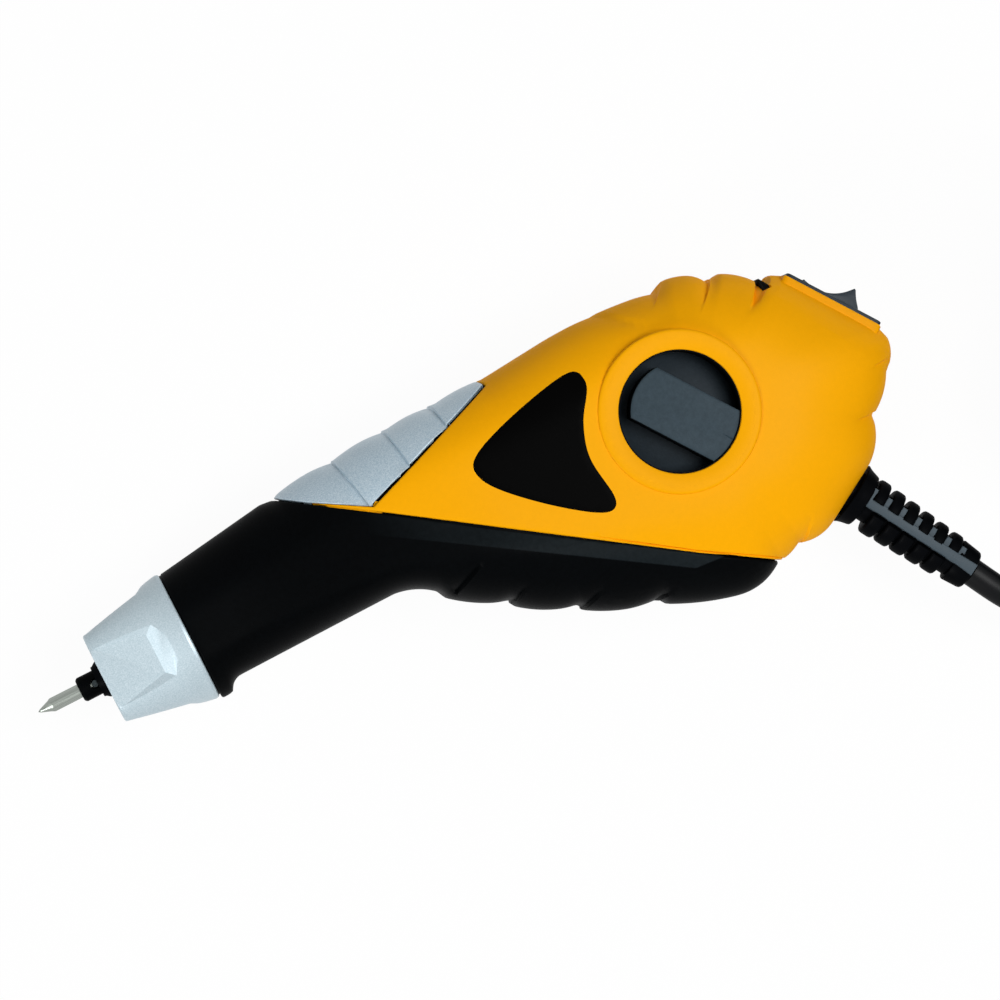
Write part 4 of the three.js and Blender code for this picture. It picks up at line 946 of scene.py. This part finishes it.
class PEN_OT_lead(bpy.types.Operator):
    """Lays the lead from the sleeve to its coil, with its plug"""

    bl_idname = "pen.lead"
    bl_label = "Lead and plug"

    def execute(self, context):
        sizes = context.scene.pen_sizes
        points, heading = coil_line(sizes.cord_diameter / MM)
        route = spaced_curve(LEAD_ROUTE, 60) + points
        data = bpy.data.curves.new("lead", "CURVE")
        data.dimensions = "3D"
        data.bevel_depth = sizes.cord_diameter / 2
        data.bevel_resolution = 5
        data.use_fill_caps = True
        line = data.splines.new("POLY")
        line.points.add(len(route) - 1)
        for vertex, point in zip(line.points, route):
            vertex.co = (*to_metres(point), 1)
        lead = bpy.data.objects.new("lead", data)
        context.scene.collection.objects.link(lead)
        data.materials.append(FINISHES["lead_rubber"])
        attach(lead, "housing")
        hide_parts("power_cord", "power_cord_coil")
        plug = plug_pieces(Vector(points[-1]), heading)
        return {"FINISHED"}


def spaced_curve(points, count):
    """A centripetal curve through points, cut into even stretches."""

    def blend(first, last, low, high):
        return first + (last - first) * (t - knots[low]) / (knots[high] - knots[low])

    points = np.array(points, float)
    padded = np.vstack([2 * points[0] - points[1], points, 2 * points[-1] - points[-2]])
    fine = []
    for a, b, c, d in zip(padded, padded[1:], padded[2:], padded[3:]):
        knots = np.cumsum([0, *(np.linalg.norm(q - p) ** 0.5 for p, q in ((a, b), (b, c), (c, d)))])
        for t in np.linspace(knots[1], knots[2], 12, endpoint=False):
            ab, bc, cd = blend(a, b, 0, 1), blend(b, c, 1, 2), blend(c, d, 2, 3)
            fine.append(blend(blend(ab, bc, 0, 2), blend(bc, cd, 1, 3), 1, 2))
    fine = np.array([*fine, points[-1]])
    lengths = run_lengths(fine)
    where = np.linspace(0, lengths[-1], count)
    return [tuple(np.interp(where, lengths, fine[:, k])[i] for k in range(3)) for i in range(count)]


def coil_line(diameter):
    """The coil's centre line: in and out in layers, then over the top in a half turn to the plug."""
    pitch = diameter + COIL_GAP
    base = -HALF_THICKNESS[1] + diameter / 2 + 0.1
    first = -math.pi / 2
    turns = COIL_LAYERS * COIL_LAYER_TURNS + COIL_LAST_TURN

    def on_circle(middle, radius, angle, height):
        return middle[0] + radius * math.cos(angle), middle[1] + radius * math.sin(angle), height

    steps = round(turns * 48)
    points = []
    for i in range(steps + 1):
        turn = turns * i / steps
        inward = abs(COIL_LAYER_TURNS - abs(turn % (2 * COIL_LAYER_TURNS) - COIL_LAYER_TURNS))
        climbed = sum(
            min(1, max(0, 2 * (turn - k * COIL_LAYER_TURNS) + 0.5)) for k in range(1, COIL_LAYERS + 1)
        )
        angle = first + turn * 2 * math.pi
        points.append(on_circle(COIL_CENTRE, COIL_RADIUS - pitch * inward, angle, base + pitch * climbed))
    end = first + turns * 2 * math.pi
    middle = on_circle(COIL_CENTRE, COIL_RADIUS - pitch * COIL_LAST_TURN - TAIL_RADIUS, end, 0)
    top = base + COIL_LAYERS * pitch
    axis = top - diameter / 2 + PLUG_THICKNESS / 2
    for share in (i / 18 for i in range(1, 19)):
        height = top + (axis - top) * float(smoothstep(share, 0, 1))
        points.append(on_circle(middle, TAIL_RADIUS, end + share * TAIL_TURN, height))
    heading = end + TAIL_TURN + math.pi / 2
    last = Vector(points[-1])
    points.append(tuple(last + diameter * Vector((math.cos(heading), math.sin(heading), 0))))
    return points, heading


def plug_pieces(end, heading):
    """A flat moulded plug with two sleeved pins."""
    place = Matrix.Translation(end) @ Matrix.Rotation(heading, 4, "Z")
    sections = (
        (0.3, 9.2, 8.0), (1.2, 11.6, 9.6), (4, 12.6, 10.4), (11, 13.6, 11.4), (15.6, 15.9, 12.3),
        (19, 20.5, 12.9), (23, 28, 13.4), (27.5, 34, 13.6), (30, 35.1, 13.6), (32.6, 35.1, 13.6),
        (33.7, 34.4, 13), (34.3, 33, 11.6),
    )
    angles = [2 * math.pi * k / 40 for k in range(40)]
    made = loft([
        [
            (x, squared(math.cos(a), 0.5) * width / 2, squared(math.sin(a), 0.6) * height / 2)
            for a in angles
        ]
        for x, width, height in sections
    ])
    pieces = [piece("plug_moulding", made, "black_rubber", ["plug_body"], sharp=50, frame_of=place)]
    for i, side in enumerate((-1, 1)):
        shift = place @ Matrix.Translation((0, side * 9.1, 0))
        pin = lathe([
            (34.6, 0), (34.6, 1.8), (44.8, 1.8), (45, 1.98), (52.2, 1.98), (53.1, 1.6), (53.55, 0.9),
            (53.6, 0),
        ], 32, closed=False)
        pieces.append(piece(f"plug_pin_brass_{i + 1}", pin, "bronze", [f"plug_pin_{i + 1}"], frame_of=shift))
        sleeve = lathe([(34.6, 1.7), (34.6, 1.99), (44.4, 1.99), (44.7, 1.9), (44.7, 1.7)], 32)
        pieces.append(piece(f"plug_pin_sleeve_{i + 1}", sleeve, "black_rubber", frame_of=shift))
    return pieces


class PEN_OT_housing(bpy.types.Operator):
    """Builds the moulded body, grip and trim"""

    bl_idname = "pen.housing"
    bl_label = "Housing shells"

    def execute(self, context):
        radius = context.scene.pen_sizes.edge_radius
        for side, word in ((1, "left"), (-1, "right")):
            housing_half(side, word, radius)
        trim = shell([1, -1], TRIM_CUTS, 0.2, TRIM_STEPS, wall=1.0)
        piece("top_trim_skin", trim, "trim_paint", ["top_trim"])
        neck = lathe([
            (29.4, 9.4), (29.4, 10.9), (35.52, 10.9), (35.52, 14.05), (36.8, 14.05), (36.8, 9.4),
        ], 96)
        piece("grip_neck", neck, "black_plastic")
        outer = stack(rounded(rectangle(12, 8.4), 1.5), [(0, -4), (0, -0.6), (0.25, -0.35)])
        turned = SWITCH_FRAME @ Matrix.Rotation(-math.pi / 2, 4, "X")
        rim = piece("switch_rim", outer, "orange_plastic", frame_of=turned)
        carve(rim, [switch_block(*SWITCH_OPENING, -5, 5)])
        # Painted shade: a black wedge for the shade in the rearmost fold
        piece("rear_fold_shade", fold_shade_wedge(), "black_plastic")
        piece("seam_lip", joined(seam_lips()), "black_plastic")
        wells = screw_pieces()
        piece("grip_screw_wells", joined(wells[:2]), "black_plastic")
        piece("body_screw_wells", joined(wells[2:]), "orange_plastic")
        return {"FINISHED"}


def housing_half(side, word, radius):
    """One side's body, the body's thin edge beside the trim, and the grip."""
    holes = [(circle(at(share), SCREW_HOLE),) for share in SCREWS]
    body_holes, grip_holes = ([(FOLD_SHADE, FOLD_SHADE_LOW)], ()) if side > 0 else (holes[2:], holes[:2])
    relief = [*BODY_STEPS, BEZEL_FLAT]
    made = shell([side], [*BODY_CUTS, parting(side)], radius, relief, bezel_sink, holes=body_holes)
    body = piece(f"{word}_body_shell", made, "orange_plastic", [f"{word}_housing"])
    tools = [
        switch_block(*SWITCH_OPENING, -1.5, 30), switch_block(12, 30, 0, 30),
        switch_block(9.7, 6.3, -17.4, -1),
        moved(cylinder((0, 0), 7.6, 0, 30), ROOT_FRAME @ Matrix.Rotation(math.pi / 2, 4, "Y")),
    ]
    if side > 0:
        tools.append(cylinder(DIAL_PLACE, DIAL_OPENING, 10, 40))
    rear = line_cut(SEAM_KNEE, TRIM_REAR, True, (1.6, 0))
    made = shell([side], [*EDGE_CUTS, parting(side)], 0.3, wall=1.5, plain=[rear])
    piece(f"{word}_body_edge", made, "orange_plastic")
    carve(body, tools)
    relief = [*GRIP_STEPS, *BAND]
    made = shell([side], [*GRIP_CUTS, parting(side)], radius, relief, band_sink, holes=grip_holes)
    piece(f"{word}_grip_shell", made, "grip_plastic", [f"{word}_grip"])


def rectangle(half_length, half_width):
    return [
        (-half_length, -half_width), (half_length, -half_width), (half_length, half_width),
        (-half_length, half_width),
    ]


def switch_block(half_length, half_width, low, high):
    """A block centred on the switch, between two heights over its edge of the housing."""
    return block((-half_length, low, -half_width), (half_length, high, half_width), SWITCH_FRAME)


def fold_shade_wedge():
    """A black wedge of painted shade in the rearmost fold, whose left face lies under the skin."""
    made = stack(FOLD_SHADE, [(0.35, -8.5), (-0.1, -7), (-0.1, 6.6), (0.35, 7)])
    for vert in made.verts:
        if vert.co.z > 0:
            vert.co.z = max(vert.co.z, HEIGHT_AT(vert.co.x, vert.co.y) - (8.6 - vert.co.z))
    return made


def screw_pieces():
    """Builds the housing's screws; gives back their wells, which end just below the skin, as bmeshes."""
    wells = []
    for share in SCREWS:
        inner, outer = WELL_RADII
        rim = WELL_SINK - min(HEIGHT_AT(*point) for point in circle(at(share), outer - 0.1))
        well = lathe([(rim, inner), (rim, outer), (WELL_FLOOR, outer), (WELL_FLOOR, inner)], 40)
        wells.append(moved(well, upright_frame(at(share))))
    for i, share in enumerate(SCREWS):
        x, y = at(share)
        head = lathe([
            (-9.05, 0), (-9.1, 1.5), (-8.9, 2.3), (-8.4, 2.66), (-7.35, 2.68), (-7.35, 1.4), (6.9, 1.4),
            (6.9, 0),
        ], 48, closed=False)
        head = moved(head, upright_frame((x, y)))
        screw = piece(f"shell_screw_{i + 1}", head, "steel", [f"housing_screw_{i + 1}"])
        carve(screw, [
            block((x - long, y - wide, -10), (x + long, y + wide, -7.9))
            for long, wide in ((1.7, 0.35), (0.35, 1.7))
        ])
    return wells


class PEN_OT_inlays(bpy.types.Operator):
    """Lays the bare label inlay and the raised ring round the dial"""

    bl_idname = "pen.inlays"
    bl_label = "Label and dial ring"

    def execute(self, context):
        loop = np.array(spaced_curve([(*at(share), 0) for share in (*LABEL, LABEL[0])], 120))[:-1, :2]
        loop = mean_along(anticlockwise(loop), 1.2, 3)
        piece("label_inlay", inlay(loop, 0.09), "label_film", ["label_plate"])
        top = DIAL_RING_TOP
        ring = lathe([
            (14.6, 13.02), (top - 0.3, 13.02), (top - 0.1, 13.08), (top, 13.25), (top, 16.7),
            (top - 0.06, 17.05), (top - 0.22, 17.28), (top - 0.5, 17.38), (top - 0.8, 17.4), (14.6, 17.4),
        ], 128)
        turned = upright_frame(DIAL_PLACE)
        piece("dial_ring", moved(ring, turned), "orange_plastic", sharp=60)
        # Painted shade: a black liner on the opening's wall stands in for the shade inside it
        opening_shade = lathe([(14.8, 12.78), (top - 0.4, 12.78), (top - 0.4, 13.0), (14.8, 13.0)], 128)
        piece("dial_opening_shade", opening_shade, "black_plastic", frame_of=turned)
        return {"FINISHED"}


def inlay(loop, lift):
    """A thin plate that follows the skin inside a loop of the plan, with a rounded edge."""
    rings = [(0.0, lift - 0.6), (0.0, lift - 0.12), (0.1, lift - 0.03), (0.28, lift)]
    inner = inset_loop(loop, rings[-1][0])
    spacing, margin = 1.3, 0.6
    columns, lines = (np.arange(inner[:, k].min(), inner[:, k].max(), spacing) for k in (0, 1))
    grid = [(x, y) for x in columns for y in lines]
    kept = [p for p in grid if inside(inner, p) and np.linalg.norm(inner - p, axis=1).min() > margin]
    verts = [Vector(p) for p in (*inner, *kept)]
    found = delaunay_2d_cdt(verts, [], [list(range(len(inner)))], 1, 1e-4)
    made = bmesh.new()
    flat = [made.verts.new((p.x, p.y, HEIGHT_AT(p.x, p.y) + lift)) for p in found[0]]
    for face in found[2]:
        made.faces.new([flat[i] for i in face])
    border = [flat[i] for i in range(len(inner))]
    for inset, height in rings[::-1][1:]:
        ring = [made.verts.new((x, y, HEIGHT_AT(x, y) + height)) for x, y in inset_loop(loop, inset)]
        bridge(made, ring, border)
        border = ring
    made.faces.new(border[::-1])
    bmesh.ops.recalc_face_normals(made, faces=made.faces)
    return made


def inside(loop, point):
    """Whether a point of the plan lies inside a loop, by counting the crossings to its right."""
    x, y = point
    after = np.roll(loop, -1, axis=0)
    crosses = (loop[:, 1] > y) != (after[:, 1] > y)
    with np.errstate(divide="ignore", invalid="ignore"):
        where = loop[:, 0] + (y - loop[:, 1]) * (after[:, 0] - loop[:, 0]) / (after[:, 1] - loop[:, 1])
    return bool((crosses & (where > x)).sum() % 2)


class PEN_OT_dial(bpy.types.Operator):
    """Builds the stroke dial with its grip bar"""

    bl_idname = "pen.dial"
    bl_label = "Dial"

    def execute(self, context):
        place = turned_frame(DIAL_PLACE, SWITCH_TURN)
        disc = lathe([
            (4.1, 0), (4.1, 3.8), (13.6, 3.8), (13.6, 14.4), (14.7, 14.4), (14.7, 12.62), (15.05, 12.6),
            (15.2, 12.4), (15.2, 0),
        ], 128, closed=False)
        disc = moved(disc, Matrix.Rotation(-math.pi / 2, 4, "Y"))
        loop = []
        for radius, count in ((12.6, 28), (-10.5, 24)):
            end = math.asin(6 / radius)
            loop += [(radius * math.cos(a), abs(radius) * math.sin(a)) for a in np.linspace(-end, end, count)]
        # Painted shade: the bar's side walls are a separate black piece that stands in for the shade on them
        bar_shade = stack(loop, [(0, 14.8), (0, 21.2)])
        bar = stack(loop, [(0.02, 21.2), (0.1, 21.4), (0.3, 21.53), (0.55, 21.58)])
        on_dial = {"body": "dial_unit", "frame_of": place}
        piece("dial_knob", disc, "dial_plastic", ["depth_dial"], sharp=40, **on_dial)
        piece("dial_bar_shade", bar_shade, "black_plastic", slot="grey_plastic", **on_dial)
        grip = piece("dial_bar", bar, "grey_plastic", sharp=40, **on_dial)
        notch = hull((
            (13.5, 1.3, 22.2), (13.5, -1.3, 22.2), (13.5, 0, 21.25), (9.4, 0, 21.6), (9.4, 0, 22.2),
        ), place)
        carve(grip, [notch])
        return {"FINISHED"}


class PEN_OT_switch(bpy.types.Operator):
    """Builds the rocker, its bezel and the well that it tips in"""

    bl_idname = "pen.switch"
    bl_label = "Switch"

    def execute(self, context):
        side = [(7.3 * math.cos(a), 7.3 * math.sin(a)) for a in np.radians(np.linspace(-20, 25, 12))]
        side += [(6.3, 3.95), (6.05, 4.95), (5.88, 5.85), (5.6, 6.12)]
        top = [(x, 4.2 + 1.92 * (x / 5.6) ** 2) for x in np.linspace(5.15, -5.15, 22)]
        loop = [*side, *top, *[(-x, y) for x, y in side[::-1]]]
        made = stack(loop, [(0.2, -5.2), (0.06, -5.14), (0, -5.0), (0, 5.0), (0.06, 5.14), (0.2, 5.2)])
        tilt = Matrix.Translation((0, -3, 0)) @ Matrix.Rotation(math.radians(17.4), 4, "Z")
        piece("rocker_cap", made, "switch_plastic", ["switch_rocker"], body="rocker",
              frame_of=SWITCH_FRAME @ tilt, sharp=40)
        plate = [(-11.25, -7.5), (11.7, -7.5), (11.7, 7.5), (-11.25, 7.5)]
        flat = Matrix.Rotation(-math.pi / 2, 4, "X")
        levels = [(0.25, -1.2), (0, -0.95), (0, 0.25), (0.08, 0.42), (0.3, 0.5)]
        bezel = moved(stack(rounded(plate, 1.2), levels), flat)
        rim = piece("switch_bezel", bezel, "switch_plastic", ["switch_frame"], frame_of=SWITCH_FRAME)
        carve(rim, [switch_block(8.2, 5.6, -3, 3)])
        well = joined([
            block((-9.6, -17.2, -6.2), (-8.5, -1.2, 6.2)), block((8.5, -17.2, -6.2), (9.6, -1.2, 6.2)),
            block((-8.5, -17.2, -6.2), (8.5, -1.2, -5.7)), block((-8.5, -17.2, 5.7), (8.5, -1.2, 6.2)),
            block((-8.5, -17.2, -5.7), (8.5, -16.2, 5.7)),
        ])
        piece("switch_well", well, "switch_plastic", frame_of=SWITCH_FRAME)
        return {"FINISHED"}


class PEN_OT_nose(bpy.types.Operator):
    """Builds the nose cap with its four pockets, the boot, and the needle in its holder"""

    bl_idname = "pen.nose"
    bl_label = "Nose"

    def execute(self, context):
        cap = lathe([
            (15.5, 4.5), (18.1, 4.5), (18.1, 8.5), (29, 8.5), (29, 11.3), (35.5, 11.3), (35.5, 14.2),
            (35.3, 14.45), (34.75, 14.6), (34.2, 14.52), (32.5, 14.2, 2.2), (31.4, 13.92, 2.4),
            (30.6, 13.7, 2.52), (29.5, 13.45, 2.62), (26, 12.68, 2.97), (22, 11.8, 3.4), (18.5, 11.03, 3.75),
            (16.3, 10.54, 3.95), (15.85, 10.36, 4), (15.6, 10.08, 4), (15.5, 9.75, 4),
        ], 144)
        cap = piece("nose_cap_shell", cap, "silver_paint", ["nose_cap"])
        carve(cap, [pocket(i * math.pi / 2) for i in range(4)])
        smooth(cap.data, 20)
        round_edges(cap, 0.22, 22)
        boot = lathe([
            (13.9, 3.35), (13.9, 3.3), (17.3, 3.3), (19.6, 3.3), (19.6, 6.6), (18.4, 6.6), (18.4, 4.15),
            (15.3, 4.15), (15, 4.0), (14.3, 3.48), (14.05, 3.45),
        ], 64)
        piece("nose_boot_seal", boot, "black_rubber", ["nose_boot"])
        collet = lathe([
            (9.8, 1.85), (14.9, 1.85), (14.9, 2.55), (14.7, 2.72), (10.35, 2.74), (9.95, 2.45), (9.8, 2.2),
        ], 64)
        holder = piece("needle_collet", collet, "black_plastic", ["needle_holder"], body="spindle_unit")
        screw_place = (13.4, 0)
        carve(holder, [cylinder(screw_place, 1.1, 0.5, 4, 40)])
        screw = lathe([
            (1.9, 0), (1.9, 0.78), (2.5, 0.78), (2.62, 0.68), (2.64, 0.42), (2.3, 0.4), (2.3, 0),
        ], 40, closed=False)
        screw = moved(screw, upright_frame(screw_place))
        piece("needle_grub_screw", screw, "dark_steel", ["needle_set_screw"], body="spindle_unit")
        made = lathe([
            (0, 0), (0.5, 0.36), (1.53, 0.76), (2.55, 1.15), (3.3, 1.5), (3.5, 1.52), (19.8, 1.52),
            (20, 1.35), (20, 0),
        ], 72, closed=False)
        needle = piece("needle_ground", made, "needle_steel", ["carbide_needle"], body="spindle_unit")
        carve(needle, [
            block((-1, 1.275, -5), (9.4, 6, 5), Matrix.Rotation((i + 0.24) * 2 * math.pi / 3, 4, "X"))
            for i in range(3)
        ])
        smooth(needle.data, 14)
        return {"FINISHED"}


def pocket(turn):
    """What is cut from one side of the nose cap."""
    rows = ((15.2, 7, 9.9), (15.2, 18.9, 14.5), (27.6, 4.35, 11.75), (35.6, 11.75, 16.47))
    corners = [(x, y, radius) for x, half_width, radius in rows for y in (-half_width, half_width)]
    return moved(hull(corners), Matrix.Rotation(turn, 4, "X"))


class PEN_OT_sleeve(bpy.types.Operator):
    """Builds the ribbed sleeve where the lead leaves the housing"""

    bl_idname = "pen.sleeve"
    bl_label = "Sleeve"

    def execute(self, context):
        parts = [lathe([
            (-4.6, 3.4), (-4.6, 7), (-2.6, 7), (-2.6, 5.2), (0.35, 5.2), (0.35, 6.95), (0.5, 7.08),
            (1.0, 6.8), (2.0, 6.45), (3.2, 6.15), (3.55, 6.0), (3.7, 5.7), (3.75, 4.1), (26.6, 3.9),
            (26.75, 4.75), (27.0, 4.9), (30.7, 4.55), (31.15, 4.4), (31.4, 4.1), (31.4, 3.2), (-4.6, 3.2),
        ], 64)]
        first, last, ribs = 3.7, 26.9, 6
        pitch = (last - first) / ribs
        slope = ((0, -0.75), (0.12, -0.35), (0.4, -0.08), (0.9, 0))
        for i in range(2 * ribs - 1):
            width, end, turn = ((2.8, 82, 0), (3.3, 72, math.pi))[i % 2]
            start = first + (i / 2 + 0.5) * pitch - width / 2
            radius = 6.15 - 0.95 * i / (2 * ribs - 1)
            profile = [
                (start, 3.5), *((start + x, radius + y) for x, y in slope),
                *((start + width - x, radius + y) for x, y in slope[::-1]), (start + width, 3.5),
            ]
            parts.append(lathe(profile, 32, arc=(math.radians(-70) + turn, math.radians(end) + turn)))
        piece("lead_sleeve", joined(parts), "black_rubber", ["strain_relief"], frame_of=ROOT_FRAME, sharp=40)
        # Painted reflection: the spine and teeth are grey, standing in for the light that the ribs' upper
        # faces reflect
        comb = []
        for flip in (0, math.pi):
            turned = Matrix.Rotation(flip, 4, "X")
            strip = stack([
                (2.2, -1.2), (26.9, -1.1), (31.2, -1.3), (31.2, 1.3), (26.9, 1.2), (4.6, 1.1), (4.4, 3.2),
                (2.2, 3.2),
            ], [(0, 3.0), (0, 5.0), (0.12, 5.2), (0.3, 5.26)])
            comb.append(moved(strip, turned))
            mirror = turned @ Matrix.Scale(-1, 4, (0, 1, 0)) if flip else turned
            for i in range(ribs + 1):
                x = first + i * pitch
                height = 5.1 - 0.5 * i / ribs
                tooth = stack(
                    [(x - 0.95, 0.5), (x + 0.95, 0.5), (x + 0.6, 3.1), (x - 0.6, 3.1)],
                    [(0, 2.0), (0, height - 0.25), (0.15, height - 0.05)],
                )
                comb.append(moved(tooth, mirror))
        piece("sleeve_spine", joined(comb), "grey_rubber", frame_of=ROOT_FRAME, sharp=40)
        return {"FINISHED"}


class PEN_OT_stage(bpy.types.Operator):
    """Sets the camera, the lamps, the pale floor and the white surroundings"""

    bl_idname = "pen.stage"
    bl_label = "Stage"

    def execute(self, context):
        scene = context.scene
        scene.view_settings.view_transform = "Standard"
        make_camera(scene)
        make_floor(scene)
        make_world(scene)
        make_lamps(scene)
        return {"FINISHED"}


def make_camera(scene):
    """A long lens over the dial's side, leant a little towards the nose."""
    lean = Vector((-0.0959, 0.032, 1)).normalized()
    right = Vector((0.8917, -0.4526, 0))
    right = (right - lean * right.dot(lean)).normalized()
    up = lean.cross(right)
    distance, frame_width, zoom = 0.8, 0.215, 1.0052
    lens = bpy.data.cameras.new("camera")
    lens.sensor_width = 36
    lens.lens = lens.sensor_width * distance * zoom / frame_width
    lens.clip_end = 20
    camera = bpy.data.objects.new("camera", lens)
    target = to_metres((107.67, -4.43, 0))
    turn = Matrix((right, up, lean)).transposed().to_4x4()
    camera.matrix_world = Matrix.Translation(target + lean * distance) @ turn
    scene.collection.objects.link(camera)
    scene.camera = camera


def make_floor(scene):
    made = bmesh.new()
    bmesh.ops.create_grid(made, x_segments=1, y_segments=1, size=3)
    mesh = bpy.data.meshes.new("floor")
    made.to_mesh(mesh)
    made.free()
    floor = bpy.data.objects.new("floor", mesh)
    scene.collection.objects.link(floor)
    paper = Finish("floor_paper", Roughness=0.9, **{"Base Color": (0.9, 0.9, 0.9, 1)})
    paper.bump(paper.noise(400.0), 0.05, 0.0001)
    glow = paper.node("ShaderNodeEmission", {"Color": WHITE, "Strength": 1.0})
    paper.show_mixed(paper.seen() * 0.96, paper.surface.outputs[0], glow.outputs[0])
    mesh.materials.append(paper.material)


def make_world(scene):
    """White to the eye, and dimmer as a light."""
    scene.world = bpy.data.worlds.new("surroundings")
    nodes = Nodes(scene.world, "ShaderNodeOutputWorld")
    dim, bright = (
        nodes.node("ShaderNodeBackground", {"Color": WHITE, "Strength": strength}).outputs[0]
        for strength in (0.12, 1.0)
    )
    seen = nodes.seen()
    seen.socket.node.use_clamp = True
    nodes.show_mixed(seen, dim, bright)


def make_lamps(scene):
    """Soft boxes, placed by the camera's right, its up and the way towards it."""
    target = to_metres((110, -10, 0))
    turn = scene.camera.matrix_world.to_3x3()
    for name, place, size, power in (
        ("key", (0.75, 0.1, 1.35), 0.8, 17.3),
        ("side", (-0.8, -0.85, 0.85), 0.35, 9.0),
    ):
        data = bpy.data.lights.new(name, "AREA")
        data.size = size
        data.energy = power
        lamp = bpy.data.objects.new(name, data)
        away = turn @ Vector(place)
        lamp.location = target + away
        lamp.rotation_euler = (-away).to_track_quat("-Z", "Y").to_euler()
        scene.collection.objects.link(lamp)


OPERATORS = (
    PEN_OT_finishes, PEN_OT_stage, PEN_OT_lead, PEN_OT_housing, PEN_OT_inlays, PEN_OT_dial, PEN_OT_switch,
    PEN_OT_nose, PEN_OT_sleeve,
)


class PEN_PT_panel(bpy.types.Panel):
    """Lists the pen's pieces in build order"""

    bl_idname = "PEN_PT_panel"
    bl_label = "Engraving Pen"
    bl_space_type = "VIEW_3D"
    bl_region_type = "UI"
    bl_category = "Engraving Pen"

    def draw(self, context):
        for group in (context.scene.pen_sizes, context.scene.pen_colours):
            for name in group.__annotations__:
                self.layout.prop(group, name)
        for operator in OPERATORS:
            self.layout.operator(operator.bl_idname)


CLASSES = (PenSizes, PenColours, *OPERATORS, PEN_PT_panel)


def register():
    for made in CLASSES:
        bpy.utils.register_class(made)
    bpy.types.Scene.pen_sizes = bpy.props.PointerProperty(type=PenSizes)
    bpy.types.Scene.pen_colours = bpy.props.PointerProperty(type=PenColours)


def unregister():
    del bpy.types.Scene.pen_colours
    del bpy.types.Scene.pen_sizes
    for made in reversed(CLASSES):
        bpy.utils.unregister_class(made)


def main():
    register()
    for operator in OPERATORS:
        group, name = operator.bl_idname.split(".")
        getattr(getattr(bpy.ops, group), name)()
    bpy.context.view_layer.update()


if __name__ == "__main__":
    main()
